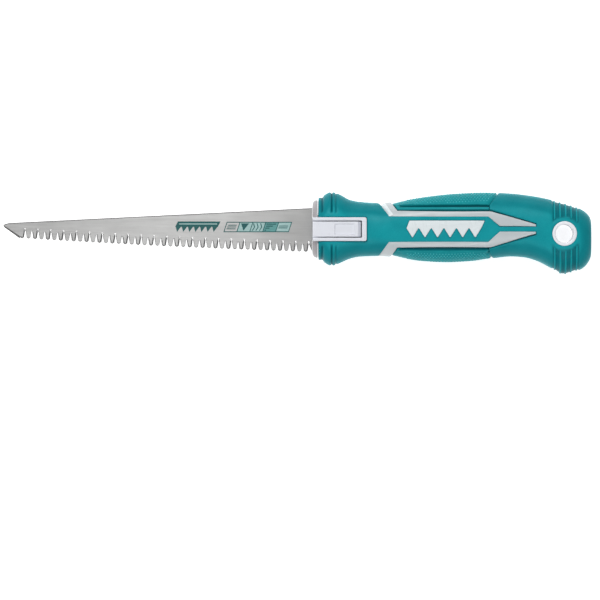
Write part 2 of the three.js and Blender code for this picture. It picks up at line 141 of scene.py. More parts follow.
def baseSurface(flat, side, inset):
    x, v = flat[:, 0], flat[:, 1]
    rounding = handle["tailRounding"]
    turn = np.clip((x - capStart) / rounding, 0, math.pi / 2)
    beyond = np.maximum(x - capStart - rounding * math.pi / 2, 0)
    along = np.where(x < capStart, x, capStart + rounding * np.sin(turn))
    half, middle, thick = sectionAt(along)
    shrink = 1 - (rounding * (1 - np.cos(turn)) + beyond) / thick
    angle = v / handle["wrap"]
    c, s = np.cos(angle), np.sin(angle)
    power = handle["squareness"]
    reach = (np.abs(c) ** power + np.abs(s) ** power) ** (-1 / power)
    y = middle + (half * shrink - inset * np.sign(shrink)) * reach * c
    z = (thick * shrink - inset) * reach * s
    limit, easing = handle["flat"] - inset, handle["flatEasing"]
    z = z - easing * np.logaddexp(0, (z - limit) / easing)
    return np.column_stack([along - inset * np.sin(turn), y, side * z])


def surface(flat, side, inset=0.0, height=0.0):   # height stands off along the skin's normal
    flat = np.asarray(flat, float).reshape(-1, 2)
    points = baseSurface(flat, side, inset)
    if np.ndim(height) == 0 and height == 0:
        return points
    step = 0.02
    alongX = baseSurface(flat + [step, 0], side, inset) - baseSurface(flat - [step, 0], side, inset)
    alongV = baseSurface(flat + [0, step], side, inset) - baseSurface(flat - [0, step], side, inset)
    normal = side * np.cross(alongV, alongX)
    normal /= np.maximum(np.linalg.norm(normal, axis=1, keepdims=True), 1e-12)
    return points + normal * np.broadcast_to(height, len(points))[:, None]


def toFlat(outline, step=0.7):   # an outline in x and y, cut into short steps and laid out flat
    points = []
    for (ax, ay), (bx, by) in zip(outline, outline[1:] + outline[:1]):
        count = max(1, math.ceil(math.hypot(bx - ax, by - ay) / step))
        points += [(ax + (bx - ax) * i / count, ay + (by - ay) * i / count) for i in range(count)]
    x, y = np.array(points, float).T
    half, middle, _ = sectionAt(x)
    across = (y - middle) / half
    power = handle["squareness"]
    inside = np.clip(np.abs(across), 0, 1)
    v = np.arctan2((1 - inside ** power) ** (1 / power), np.clip(across, -1, 1)) * handle["wrap"]
    v = np.where(across > 1, -(across - 1) * half, v)
    v = np.where(across < -1, fullWrap - (across + 1) * half, v)
    loop = np.column_stack([x, v])
    following = np.roll(loop, -1, axis=0)
    area = np.sum(loop[:, 0] * following[:, 1] - following[:, 0] * loop[:, 1])
    return loop if area > 0 else loop[::-1]


def grown(loop, distance):   # an anticlockwise loop with every edge moved outwards
    before, after = loop - np.roll(loop, 1, axis=0), np.roll(loop, -1, axis=0) - loop

    def outward(edge):
        length = np.maximum(np.linalg.norm(edge, axis=1, keepdims=True), 1e-9)
        return np.column_stack([edge[:, 1], -edge[:, 0]]) / length
    a, b = outward(before), outward(after)
    share = distance / np.maximum(1 + np.sum(a * b, axis=1), 0.25)
    return loop + (a + b) * share[:, None]


def inLoop(points, loop):
    inside = np.zeros(len(points), bool)
    for (ax, ay), (bx, by) in zip(loop, np.roll(loop, -1, axis=0)):
        if ay != by:
            crosses = (points[:, 1] < ay) != (points[:, 1] < by)
            inside ^= crosses & (points[:, 0] < ax + (points[:, 1] - ay) * (bx - ax) / (by - ay))
    return inside


def distanceTo(points, loop):
    a, edge = loop, np.roll(loop, -1, axis=0) - loop
    length = np.maximum(np.sum(edge * edge, axis=1), 1e-12)
    nearest = np.full(len(points), 1e9)
    for chunk in np.array_split(np.arange(len(points)), max(1, len(points) * len(loop) // 2000000)):
        offset = points[chunk][:, None, :] - a[None]
        t = np.clip(np.einsum("ijk,jk->ij", offset, edge) / length, 0, 1)
        gap = offset - t[..., None] * edge[None]
        nearest[chunk] = np.sqrt(np.min(np.sum(gap * gap, axis=2), axis=1))
    return nearest


def depthIn(points, loop):   # how far inside a loop each point is, negative outside
    return distanceTo(points, loop) * np.where(inLoop(points, loop), 1, -1)


def rounded(depth, radius):   # how far a rounded edge has dropped at that distance in from it
    short = np.clip(radius - depth, 0, radius)
    return radius - np.sqrt(np.maximum(radius ** 2 - short ** 2, 0))


edgeRounding = 0.42
edgeSteps = (0, 0.03, 0.1, 0.22, edgeRounding)   # loops that carry a rounded edge


def lines(start, end, step, zones=()):   # evenly stepped, with finer stretches (from, to, step)
    found = [start + at for at in edgeSteps] + [end - at for at in edgeSteps]
    here = start + edgeSteps[-1]
    while here < end - edgeSteps[-1]:
        found.append(here)
        here += min([z[2] for z in zones if z[0] <= here < z[1]] + [step])
    return np.unique(np.round(found, 4))


def rectangle(xs, ys):
    return [(xs[0], ys[0]), (xs[1], ys[0]), (xs[1], ys[1]), (xs[0], ys[1])]


def outsideOf(holes):   # which flat points lie outside every one of the loops
    return lambda flat: ~np.logical_or.reduce([inLoop(flat, hole) for hole in holes])


def unshaded(flat):
    return np.zeros(len(flat))


def patch(name, side, keep, loops, height, thickness, inset=0.0, span=None, zones=(), step=1.0,
          shade=unshaded):
    # A closed piece of the handle's skin: keep says which flat points belong to it, loops are the
    # lines that its mesh follows, and height is how its outer face stands off.
    start, end = span or (handle["front"], domainEnd)
    xs, vs = lines(start, end, step, zones), lines(0, fullWrap, step)
    grid = np.array([(x, v) for x in xs for v in vs])
    chains = [grown(loop, by) if by else loop for loop, offsets in loops for by in offsets]
    onEdge = (grid[:, 0] <= start) | (grid[:, 0] >= end) | (grid[:, 1] <= 0) | (grid[:, 1] >= fullWrap)
    clear = np.ones(len(grid), bool)
    for chain in chains:
        clear &= distanceTo(grid, chain) > 0.16
    grid = grid[clear | onEdge]
    corners = rectangle((start, end), (0, fullWrap))
    points, edges = [Vector(p) for p in grid], []
    for chain in [np.array(corners, float), *chains]:
        first = len(points)
        points += [Vector(p) for p in chain]
        edges += [(first + i, first + (i + 1) % len(chain)) for i in range(len(chain))]
    flatPoints, _, triangles, *_ = delaunay_2d_cdt(points, edges, [], 0, 1e-4)
    flat = np.array([tuple(p) for p in flatPoints])
    triangles = np.array([t for t in triangles if len(t) == 3])
    middles = flat[triangles].mean(axis=1)
    inside = (middles[:, 0] > start) & (middles[:, 0] < end) & (middles[:, 1] > 0)
    triangles = triangles[inside & (middles[:, 1] < fullWrap) & keep(middles)]
    used, triangles = np.unique(triangles, return_inverse=True)
    triangles = triangles.reshape(-1, 3)
    flat = flat[used]
    outer = surface(flat, side, inset, height(flat))
    inner = surface(flat, side, inset + thickness)
    sides = {}
    for a, b, c in triangles:
        for edge in ((a, b), (b, c), (c, a)):
            sides[edge] = True
    count = len(flat)
    walls = [(a, b, b + count, a + count) for a, b in sides if (b, a) not in sides]
    faces = [tuple(t) for t in triangles] + [(a + count, c + count, b + count) for a, b, c in triangles]
    faces += [(b, a, d, c) for a, b, c, d in walls]
    if side > 0:
        faces = [face[::-1] for face in faces]
    # the shade values go into the sunk attribute as painted light
    sunk = np.append(np.clip(shade(flat), 0, 1), np.zeros(count))
    return meshObject(name, toRow(np.vstack([outer, inner])), faces, sunk=sunk)


def meshObject(name, points, faces, sharp=35, sunk=None):   # sunk carries painted light: painted shade on the grips and pads, and the mask of a painted highlight on the shells
    mesh = bpy.data.meshes.new(name)
    mesh.from_pydata([tuple(p) for p in points], [], [tuple(int(i) for i in f) for f in faces])
    if sunk is not None:
        mesh.attributes.new("sunk", "FLOAT", "POINT").data.foreach_set("value", sunk)
    thing = bpy.data.objects.new(name, mesh)
    scene.collection.objects.link(thing)
    tidyMesh(thing, sharp)
    return thing


def rework(thing, *steps):   # each step edits the mesh in turn
    work = bmesh.new()
    work.from_mesh(thing.data)
    for step in steps:
        step(work)
    work.to_mesh(thing.data)
    work.free()


def turnOut(work):
    bmesh.ops.recalc_face_normals(work, faces=work.faces)


def tidyMesh(thing, sharp=35, merge=2e-6):
    rework(thing, lambda work: bmesh.ops.remove_doubles(work, verts=work.verts, dist=merge),
           lambda work: bmesh.ops.dissolve_degenerate(work, edges=work.edges, dist=merge))
    thing.data.polygons.foreach_set("use_smooth", [True] * len(thing.data.polygons))
    thing.data.set_sharp_from_angle(angle=math.radians(sharp))
    thing.data.update()


def dressed(thing, *materials):
    for material in materials:
        thing.data.materials.append(material)
    return thing


def feed(tree, value, socket):   # a socket is linked, and any other value is set
    if isinstance(value, bpy.types.NodeSocket):
        tree.links.new(value, socket)
    else:
        socket.default_value = value


# Finishes

def shaderSocket(material, name):
    return material.node_tree.nodes["Principled BSDF"].inputs[name]


def finish(name, color, roughness, metallic=0.0, **constants):
    material = bpy.data.materials.new(name)
    material.use_nodes = True
    material.diffuse_color = (*color, 1)
    values = {"Base_Color": (*color, 1), "Roughness": roughness, "Metallic": metallic, **constants}
    for socket, value in values.items():
        shaderSocket(material, socket.replace("_", " ")).default_value = value
    return material


def node(material, kind, settings=None, **inputs):
    made = material.node_tree.nodes.new(kind)
    for key, value in (settings or {}).items():
        setattr(made, key, value)
    for key, value in inputs.items():
        made.inputs[key.replace("_", " ")].default_value = value
    return made


def link(material, source, target):
    material.node_tree.links.new(source, target)


def grain(material, size, stretch=(1, 1, 1), detail=3.0, seed=0.0):   # noise with grains of that size in mm
    place = node(material, "ShaderNodeTexCoord")
    mapping = node(material, "ShaderNodeMapping")
    mapping.inputs["Scale"].default_value = [1 / (size * mm * s) for s in stretch]
    mapping.inputs["Location"].default_value = (seed, seed * 0.7, seed * 1.3)
    noise = node(material, "ShaderNodeTexNoise", Scale=1.0, Detail=detail, Roughness=0.55)
    link(material, place.outputs["Object"], mapping.inputs["Vector"])
    link(material, mapping.outputs["Vector"], noise.inputs["Vector"])
    return noise.outputs["Fac"]


def spread(material, source, low, high, fromLow=0.3, fromHigh=0.7):
    ranged = node(material, "ShaderNodeMapRange")
    ranged.inputs["From Min"].default_value, ranged.inputs["From Max"].default_value = fromLow, fromHigh
    ranged.inputs["To Min"].default_value, ranged.inputs["To Max"].default_value = low, high
    link(material, source, ranged.inputs["Value"])
    return ranged.outputs["Result"]


def blendColors(material, factor, first, second, target):
    mix = node(material, "ShaderNodeMix", {"data_type": "RGBA"})
    link(material, factor, mix.inputs["Factor"])
    for socket, value in ((mix.inputs[6], first), (mix.inputs[7], second)):
        feed(material.node_tree, (*value, 1) if isinstance(value, tuple) else value, socket)
    if target is not None:
        link(material, mix.outputs[2], target)
    return mix.outputs[2]


def roughnessAlong(material, source, low, high):
    link(material, spread(material, source, low, high), shaderSocket(material, "Roughness"))


def relief(material, source, distance, strength=1.0, previous=None):   # distance in mm
    bump = node(material, "ShaderNodeBump", Strength=strength, Distance=distance * mm)
    link(material, source, bump.inputs["Height"])
    if previous is not None:
        link(material, previous, bump.inputs["Normal"])
    link(material, bump.outputs["Normal"], shaderSocket(material, "Normal"))
    return bump.outputs["Normal"]


def softRubber(name, deep, bright, roughness):
    # moulded rubber: fine matte grain, faint mottling, rubbed patches, and painted shade where the sunk
    # attribute asks for it
    material = finish(name, bright, roughness, Specular_IOR_Level=0.08)
    mottling = spread(material, grain(material, 9.0, detail=4.0, seed=2.0), 0.0, 1.0)
    specks = spread(material, grain(material, 0.5, detail=2.0, seed=5.0), 0.0, 0.5)
    first = blendColors(material, mottling, deep, bright, None)
    paler = tuple(min(1, c * 1.12 + 0.006) for c in bright)
    second = blendColors(material, specks, first, paler, None)
    # painted shade: grooves, seams and slopes are darkened through the sunk attribute
    sunk = node(material, "ShaderNodeAttribute", {"attribute_name": "sunk"}).outputs["Fac"]
    shadowed = (deep[0] * 0.2, deep[1] * 0.4, deep[2] * 0.44)
    blendColors(material, sunk, second, shadowed, shaderSocket(material, "Base Color"))
    rubbed = grain(material, 5.0, detail=5.0, seed=8.0)
    roughnessAlong(material, rubbed, roughness - 0.07, roughness + 0.07)
    fine = relief(material, grain(material, 0.22, detail=2.0, seed=1.0), 0.025, 0.5)
    relief(material, grain(material, 1.4, detail=3.0, seed=3.0), 0.03, 0.35, fine)
    return material


def mouldedPlastic(name, color, roughness, texture, waviness=0.35):   # flow marks and fine pits
    material = finish(name, color, roughness, Specular_IOR_Level=0.5)
    flow = spread(material, grain(material, 7.0, (2.5, 1, 1), 4.0, 4.0), 0.0, 1.0)
    shade = tuple(c * 0.955 for c in color)
    blendColors(material, flow, shade, color, shaderSocket(material, "Base Color"))
    scuffs = grain(material, 2.6, (1, 3, 1), 6.0, 9.0)
    roughnessAlong(material, scuffs, roughness - 0.08, roughness + 0.1)
    pits = relief(material, grain(material, 0.3, detail=2.0, seed=6.0), texture, 0.45)
    relief(material, grain(material, 6.0, detail=2.0, seed=7.0), 0.05, waviness, pits)
    return material


def paintedShadeAlong(material, source, reaches):   # painted shade beyond some places along the object, in metres
    place = node(material, "ShaderNodeTexCoord")
    split = node(material, "ShaderNodeSeparateXYZ")
    link(material, place.outputs["Object"], split.inputs["Vector"])
    for start, end, dark in reaches:
        share = spread(material, split.outputs["X"], 0.0, 1.0, start, end)
        mix = node(material, "ShaderNodeMix", {"data_type": "RGBA", "blend_type": "MULTIPLY"})
        mix.inputs[7].default_value = (dark, dark, dark, 1)
        link(material, share, mix.inputs["Factor"])
        link(material, source, mix.inputs[6])
        source = mix.outputs[2]
    link(material, source, shaderSocket(material, "Base Color"))


def brushedSteel(name, color, roughness, along, fineness=0.09):   # fine scratches with a few long ones
    material = finish(name, color, roughness, 1.0, Specular_IOR_Level=0.5)
    long = 160   # a scratch's length against its width
    stretch = (long, 1, 1) if along == "x" else (1, long, 1)
    brushing = grain(material, fineness, stretch, 4.0, 3.0)
    clouds = grain(material, 14.0, (1.6, 1, 1), 4.0, 12.0)
    streaks = spread(material, brushing, 0.0, 1.0, 0.25, 0.75)
    dull = tuple(c * 0.8 for c in color)
    first = blendColors(material, streaks, dull, color, None)
    paler = tuple(min(1, c * 1.1) for c in color)
    cloudy = spread(material, clouds, 0.0, 0.7)
    blendColors(material, cloudy, first, paler, shaderSocket(material, "Base Color"))
    roughnessAlong(material, brushing, roughness - 0.08, roughness + 0.12)
    relief(material, brushing, 0.006, 0.35)
    return material


def printedInk(name, color):   # ink that lets a little of the scratched steel through
    material = finish(name, color, 0.42, Specular_IOR_Level=0.4)
    worn = spread(material, grain(material, 0.25, (14, 1, 1), 4.0, 5.0), 0.0, 0.7, 0.45, 0.8)
    thin = tuple(c * 1.6 + 0.02 for c in color)
    blendColors(material, worn, color, thin, shaderSocket(material, "Base Color"))
    relief(material, grain(material, 0.1, (60, 1, 1), 3.0, 2.0), 0.004, 0.4)
    return material


gripRubber = softRubber("gripRubber", (0.003, 0.24, 0.28), (0.005, 0.295, 0.335), 0.4)
padRubber = softRubber("padRubber", (0.004, 0.25, 0.28), (0.008, 0.31, 0.34), 0.42)
# the pad's rubber made paler: painted highlight on the dots
litDotRubber = softRubber("litDotRubber", (0.03, 0.36, 0.39), (0.05, 0.42, 0.45), 0.36)
stripePlastic = mouldedPlastic("stripePlastic", (0.5, 0.545, 0.565), 0.34, 0.02)
badgePlastic = mouldedPlastic("badgePlastic", (0.74, 0.8, 0.82), 0.3, 0.012)
holderPlastic = mouldedPlastic("holderPlastic", (0.74, 0.76, 0.82), 0.34, 0.015)
# a darker grey copy of the holder's plastic, painted shade for the collar's rounded front
shadedCollarPlastic = mouldedPlastic("shadedCollarPlastic", (0.37, 0.355, 0.37), 0.4, 0.015)
eyeletPlastic = mouldedPlastic("eyeletPlastic", (0.82, 0.84, 0.88), 0.22, 0.006, 0.2)
bladeSteel = brushedSteel("bladeSteel", (0.58, 0.58, 0.575), 0.4, "x")
# ground edges: their own brushing and gloss, in a darker colour that is painted shade; the spine's much
# darker steel is painted shade
shadedGroundSteel = brushedSteel("shadedGroundSteel", (0.42, 0.42, 0.42), 0.3, "y", 0.07)
shadedSpineSteel = brushedSteel("shadedSpineSteel", (0.13, 0.13, 0.13), 0.5, "x")
brushedColor = shaderSocket(bladeSteel, "Base Color").links[0].from_socket
# painted shade towards the tip and towards the collar, which leaves a painted sheen along the blade's middle
towardsTip, towardsCollar = (-0.08, -0.142, 0.8), (-0.035, 0.005, 0.76)
paintedShadeAlong(bladeSteel, brushedColor, [towardsTip, towardsCollar])
smallSteel = brushedSteel("smallSteel", (0.42, 0.43, 0.45), 0.3, "y", 0.12)
bladeInk = printedInk("bladeInk", (0.006, 0.085, 0.085))
bladeInkMiddle = printedInk("bladeInkMiddle", (0.09, 0.27, 0.26))
bladeInkPale = printedInk("bladeInkPale", (0.3, 0.46, 0.45))
print("finishes made")


# Handle: grips, pads and shells

stripe = {"outer": 9.5, "inner": 6.5, "start": 37.6, "lean": 0.72, "off": 23.0, "facet": 1.5,
          "facetRun": 3.0, "facetCorner": 1.2}
pad = {"start": 41.8, "end": 86.9, "groove": {1: (10.9, 12.3), -1: (9.35, 10.9)}, "grooveDepth": 1.5,
       "depth": 0.3, "dotPitch": 1.5, "dotRow": 1.25, "dotBorder": 1.2, "dotStart": 46.5,
       "dotRadius": 0.34, "dotHeight": 0.28, "dotClear": 0.9}
legFront = stripe["start"] - stripe["lean"] * (stripe["off"] - stripe["inner"])
legRear = pad["start"] - stripe["lean"] * (stripe["off"] - stripe["outer"])
facetOutline = [   # the palm stripe's front leg slopes down to its front edge within this, and the facet carries a painted highlight
    (stripe["start"], stripe["inner"]),
    (stripe["start"] + stripe["facetRun"] - stripe["lean"] * stripe["facetCorner"],
     stripe["inner"] + stripe["facetCorner"]),
    (legFront + stripe["facetRun"], stripe["off"]), (legFront, stripe["off"]),
]
stripeOutline = [
    (legFront, stripe["off"]), (stripe["start"], stripe["inner"]), (86.4, stripe["inner"]), (92, 1.4),
    (109.8, 1.4), (109.8, 2.7), (87.4, stripe["outer"]), (pad["start"], stripe["outer"]),
    (legRear, stripe["off"]),
]
padOutline = [
    (legRear, stripe["off"]), (pad["start"], stripe["outer"]), (pad["end"], stripe["outer"]),
    (pad["end"], 11.9), (95.4, stripe["off"]),
]
badge = {"start": 46.0, "end": 83.0, "top": 4.2, "bar": 0.4, "tip": -4.2, "teeth": 6, "proud": 0.15,
         "thickness": 0.9, "notch": 0.2, "lean": 1.6}
window = {"rear": 24.25, "half": 4.2, "floor": 2.6, "frameRear": 26.6, "frameHalf": 5.8, "frameTop": 13.0,
          "hollowRear": 24.95, "hollowTop": 11.2, "hollowFull": 8.4}
screws = [(17, 10.2, 6.2), (17, -10.2, 6.2), (43.6, 0, 9), (103, 9.2, 6.8), (103, -8, 6.4)]   # x, y, seat
screwHead = {"radius": 2.6, "thickness": 1.9, "access": 3.1, "cup": 3.9, "corner": 0.7, "shank": 1.4,
             "shankEnd": -10, "point": -12, "recess": 1.1, "cross": (2.6, 0.62), "draft": 0.12,
             "play": 0.15, "seatHole": 1.6, "seatDepth": 1.4, "skin": 1.6}


def mirrored(outline):
    return [(x, -y) for x, y in outline][::-1]


def ring(x, y, radius, count=72):
    turns = [2 * math.pi * i / count for i in range(count)]
    return [(x + radius * math.cos(t), y + radius * math.sin(t)) for t in turns]


def badgeOutline():
    pitch = (badge["end"] - badge["start"]) / badge["teeth"]
    points = []
    for i in range(badge["teeth"]):
        left = badge["start"] + pitch * i
        points += [(left + badge["notch"], badge["bar"]), (left + pitch / 2, badge["tip"]),
                   (left + pitch - badge["notch"], badge["bar"])]
    return points + [(badge[end] + badge["lean"], badge["top"]) for end in ("end", "start")]


stripeLoops = [toFlat(stripeOutline), toFlat(mirrored(stripeOutline))]
padLoops = [toFlat(padOutline), toFlat(mirrored(padOutline))]
eyeletLoop = toFlat(ring(eyelet["x"], eyelet["y"], eyelet["flange"] - 0.15))
badgeLoop = toFlat(badgeOutline())
frameGap = 0.08   # between the grip and the holder's frame
latchLoop = toFlat(rectangle((-2, window["frameRear"] + frameGap),
                             (-window["frameHalf"] - frameGap, window["frameHalf"] + frameGap)))
screwLoops = [toFlat(ring(x, y, screwHead["access"], 48)) for x, y, _ in screws]
gap = 0.05
roundOut = [gap + at for at in edgeSteps]
roundIn = [-gap - at for at in edgeSteps]
guardRidges = {"inner": 7.6, "fade": 1.0, "grooves": ((4.5, 0.8, 0.75), (9.45, 0.55, 0.8), (11.6, 0.5, 0.5))}
tailRibs = {"first": 119.0, "pitch": 2.75, "count": 5, "radius": 0.42, "recess": 0.55, "margin": 1.5,
            "clear": 1.6, "ease": 0.9, "inner": (4.2, 6.2), "start": 5.6, "proud": 0.08, "edge": 0.6}
ribMiddle = tailRibs["first"] + tailRibs["pitch"] * (tailRibs["count"] - 1) / 2
ribSpan = tailRibs["pitch"] * (tailRibs["count"] - 1) / 2 + tailRibs["margin"]
shadeByTilt = {"depth": 0.4, "groove": 1.35,
             "from": (0.01, 0.12), "to": (0.5, 0.85)}   # painted shade on the rubber: its strength, how much the grooves take, and where it starts and fades, by how far the skin leans from level


def smoothStep(value, low, high):
    t = np.clip((value - low) / (high - low), 0, 1)
    return t * t * (3 - 2 * t)


def pastEyelet(x, y):   # how far outside the hang hole's plain border each point is
    return np.hypot(x - eyelet["x"], y - eyelet["y"]) - eyelet["flange"] - tailRibs["clear"]


def moulded(flat):   # how the grip's face dips: the guard's grooves and the tail's ribbed panels
    points = baseSurface(flat, 1, 0)
    x, y = points[:, 0], points[:, 1]
    height = np.zeros(len(flat))
    out = smoothStep(np.abs(y), guardRidges["inner"], guardRidges["inner"] + guardRidges["fade"])
    for at, width, depth in guardRidges["grooves"]:
        height -= out * depth * np.exp(-((flat[:, 0] - at) / width) ** 2)
    ease = tailRibs["ease"]
    panel = smoothStep(ribSpan - np.abs(flat[:, 0] - ribMiddle), 0, ease)
    panel = panel * smoothStep(pastEyelet(x, y), 0, ease)
    panel *= smoothStep(np.abs(y - eyelet["y"]), *tailRibs["inner"])
    height -= tailRibs["recess"] * panel
    return height


def slopeShade(flat, side):   # painted shade where the rubber slopes away, fading out again round the edges so that they stay bright
    rise = surface(flat, side, 0, 1.0) - surface(flat, side, 0, 0.0)
    tilt = 1 - np.abs(rise[:, 2])
    paler = smoothStep(tilt, *shadeByTilt["to"])
    return shadeByTilt["depth"] * smoothStep(tilt, *shadeByTilt["from"]) * (1 - paler)


def gripShade(flat, side):   # painted shade in the grooves and the ribbed panels, on top of the painted shade on the slopes
    return np.maximum(-moulded(flat) * shadeByTilt["groove"], slopeShade(flat, side))


def edgeDepth(flat, loops, start=handle["front"]):
    nearest = np.minimum.reduce([flat[:, 0] - start, flat[:, 1], fullWrap - flat[:, 1]])
    for loop in loops:
        nearest = np.minimum(nearest, distanceTo(flat, loop))
    return np.maximum(nearest, 0)


def makeGrip(name, side):
    holes = [grown(loop, gap) for loop in (*stripeLoops, *padLoops)] + [eyeletLoop]
    loops = [(loop, roundOut) for loop in (*stripeLoops, *padLoops)]
    extra = [badgeLoop, latchLoop] if side > 0 else screwLoops
    holes += extra
    loops += [(loop, edgeSteps) for loop in (eyeletLoop, *extra)]

    def height(flat):
        return moulded(flat) - rounded(edgeDepth(flat, holes), edgeRounding)

    # painted shade in the grooves, on the slopes and along the seams with the neighbouring pieces
    def shade(flat):
        seam = np.exp(-(edgeDepth(flat, holes) / 0.3) ** 2)
        return np.maximum(gripShade(flat, side), 0.6 * seam)
    zones = [(3.2, 13.4, 0.3), (ribMiddle - ribSpan - 0.4, ribMiddle + ribSpan + 0.4, 0.5),
             (capStart - 1, capStart + 3, 0.3)]
    skin = patch(name, side, outsideOf(holes), loops, height, handle["skin"], zones=zones, shade=shade)
    return dressed(skin, gripRubber)


def makePad(name, side, loop, outward):
    edge = grown(loop, -gap)
    near, far = pad["groove"][outward]
    rows = [toFlat(rectangle((30, 100), (outward * at, outward * at + 0.01)))
            for at in (near - 0.12, near, near + 0.14, near + 0.3, far - 0.32, far - 0.16, far, far + 0.16)]

    def keep(flat):
        return inLoop(flat, edge)

    def grooveAt(flat):   # the long groove beside the stripe, closed at both ends
        y = baseSurface(flat, side, 0)[:, 1] * outward
        across = smoothStep(y, near - 0.12, near + 0.3) * (1 - smoothStep(y, far - 0.3, far + 0.2))
        return across * smoothStep(flat[:, 0], pad["start"] + 0.6, pad["start"] + 1.8)

    # painted shade in the groove, along the pad's border and on its slopes
    def shade(flat):
        border = np.exp(-(edgeDepth(flat, [edge]) / 0.35) ** 2)
        return np.maximum.reduce([grooveAt(flat), 0.7 * border, 0.6 * slopeShade(flat, side)])

    def height(flat):
        y = baseSurface(flat, side, 0)[:, 1] * outward
        inGroove = grooveAt(flat)
        onPad = smoothStep(y, far - 0.2, far + 0.4)
        border = edgeDepth(flat, [edge])
        dished = 0.75 * onPad * (1 - smoothStep(distanceTo(flat, edge), 0.3, 1.5))
        front = 0.7 * (1 - smoothStep(flat[:, 0], pad["start"] - 4, pad["start"] + 5)) * onPad
        drop = pad["grooveDepth"] * inGroove + pad["depth"] * onPad + np.maximum(dished, front)
        return -drop - rounded(border, edgeRounding)
    loops = [(loop, roundIn), *[(row, (0,)) for row in rows]]
    skin = patch(name, side, keep, loops, height, handle["skin"], span=(30.0, 97.0), step=0.9, shade=shade)
    return dressed(skin, padRubber)


def makeShell(name, side):
    core, wall = handle["core"], handle["wall"]
    half, middle, _ = sectionAt(eyelet["x"])
    spreadOut = half / (half - core - wall)   # the hole draws in with depth, so it starts wider
    around = ring(eyelet["x"], eyelet["y"], eyelet["bore"] + 1.4)
    holes = [toFlat([(x, middle + (y - middle) * spreadOut) for x, y in around])]
    holes += [latchLoop] if side > 0 else screwLoops

    def facet(flat):
        x, y, _ = baseSurface(flat, side, 0).T
        inward = x - stripe["start"] + stripe["lean"] * (y - stripe["inner"])
        return stripe["facet"] * np.clip(1 - inward / stripe["facetRun"], 0, 1) * smoothStep(y, 6.6, 8.2)

    def height(flat):
        depth = np.maximum.reduce([depthIn(flat, loop) for loop in stripeLoops])
        onStripe = core - 0.03 - rounded(np.maximum(depth, 0), edgeRounding) - facet(flat)
        return np.where(depth > -0.02, onStripe, 0)
    loops = [(loop, (0.06, *[-at for at in edgeSteps])) for loop in stripeLoops]
    facetLoop = toFlat(facetOutline)
    loops += [(loop, (0,)) for loop in (*holes, facetLoop)]

    # the facet's mask, which goes through the sunk attribute to place the painted highlight
    def onFacet(flat):
        return inLoop(flat, grown(facetLoop, 0.01)).astype(float)
    thing = patch(name, side, outsideOf(holes), loops, height, wall, inset=core, step=1.3, shade=onFacet)
    dressed(thing, stripePlastic, badgePlastic)
    marked = thing.data.attributes["sunk"]
    pale = [value.value > 0.5 for value in marked.data]
    for face in thing.data.polygons:   # painted highlight: the facet's faces take the badge's white plastic
        face.material_index = int(all(pale[i] for i in face.vertices))
    thing.data.attributes.remove(marked)
    return thing


grips = [makeGrip("gripLatchSide", 1), makeGrip("gripScrewSide", -1)]
print("grips made", [len(g.data.polygons) for g in grips])
pads, sideName = {}, {1: "LatchSide", -1: "ScrewSide"}
for side in sideName:
    for loop, outward, edgeName in ((padLoops[0], 1, "palm"), (padLoops[1], -1, "finger")):
        pads[edgeName, side] = makePad(edgeName + "Pad" + sideName[side], side, loop, outward)
shells = [makeShell("shellLatchSide", 1), makeShell("shellScrewSide", -1)]
print("pads and shells made", [len(g.data.polygons) for g in (*pads.values(), *shells)])


# Repeated details, made by geometry nodes

def newTree(name, inputs):
    tree = bpy.data.node_groups.new(name, "GeometryNodeTree")
    tree.interface.new_socket("Geometry", in_out="INPUT", socket_type="NodeSocketGeometry")
    for label, kind in inputs:
        tree.interface.new_socket(label, in_out="INPUT", socket_type="NodeSocket" + kind)
    tree.interface.new_socket("Geometry", in_out="OUTPUT", socket_type="NodeSocketGeometry")
    return tree, tree.nodes.new("NodeGroupInput").outputs, tree.nodes.new("NodeGroupOutput").inputs


def add(tree, kind, settings=None, **inputs):   # a node whose named inputs are linked or set
    made = tree.nodes.new(kind)
    for key, value in (settings or {}).items():
        setattr(made, key, value)
    for key, value in inputs.items():
        feed(tree, value, made.inputs[key.replace("_", " ")])
    return made.outputs


def maths(tree, operation, *values):
    made = tree.nodes.new("ShaderNodeMath")
    made.operation = operation
    for value, socket in zip(values, made.inputs):
        feed(tree, value, socket)
    return made.outputs["Value"]


def randomNumber(tree, low, high, seed):   # one for each point
    drawn = tree.nodes.new("FunctionNodeRandomValue")
    drawn.data_type = "FLOAT"
    drawn.inputs[2].default_value, drawn.inputs[3].default_value = low, high
    feed(tree, seed, drawn.inputs["Seed"])
    return drawn.outputs[1]


def endTree(tree, geometry, given, result):   # every tree ends smooth, realized and with its material
    whole = add(tree, "GeometryNodeRealizeInstances", Geometry=geometry)["Geometry"]
    smooth = add(tree, "GeometryNodeSetShadeSmooth", Geometry=whole)["Geometry"]
    dressed = add(tree, "GeometryNodeSetMaterial", Geometry=smooth, Material=given["Material"])["Geometry"]
    tree.links.new(dressed, result["Geometry"])


def runTree(name, tree, points, edges=(), directions=None, **values):
    mesh = bpy.data.meshes.new(name + "Points")
    mesh.from_pydata([tuple(p) for p in points], [tuple(e) for e in edges], [])
    if directions is not None:
        stored = mesh.attributes.new("direction", "FLOAT_VECTOR", "POINT")
        stored.data.foreach_set("vector", np.ravel(directions))
    thing = bpy.data.objects.new(name, mesh)
    scene.collection.objects.link(thing)
    modifier = thing.modifiers.new("details", "NODES")
    modifier.node_group = tree
    for item in tree.interface.items_tree:
        label = item.name.replace(" ", "")
        if item.in_out == "INPUT" and label in values:
            modifier[item.identifier] = values[label]
    baked = bakeMesh(thing)
    baked.name = name
    return baked


def bakeMesh(thing):   # the evaluated object becomes a plain mesh, and its modifiers go
    bpy.context.view_layer.update()
    evaluated = thing.evaluated_get(bpy.context.evaluated_depsgraph_get())
    plain = bpy.data.meshes.new_from_object(evaluated)
    thing.modifiers.clear()
    thing.data = plain
    return thing


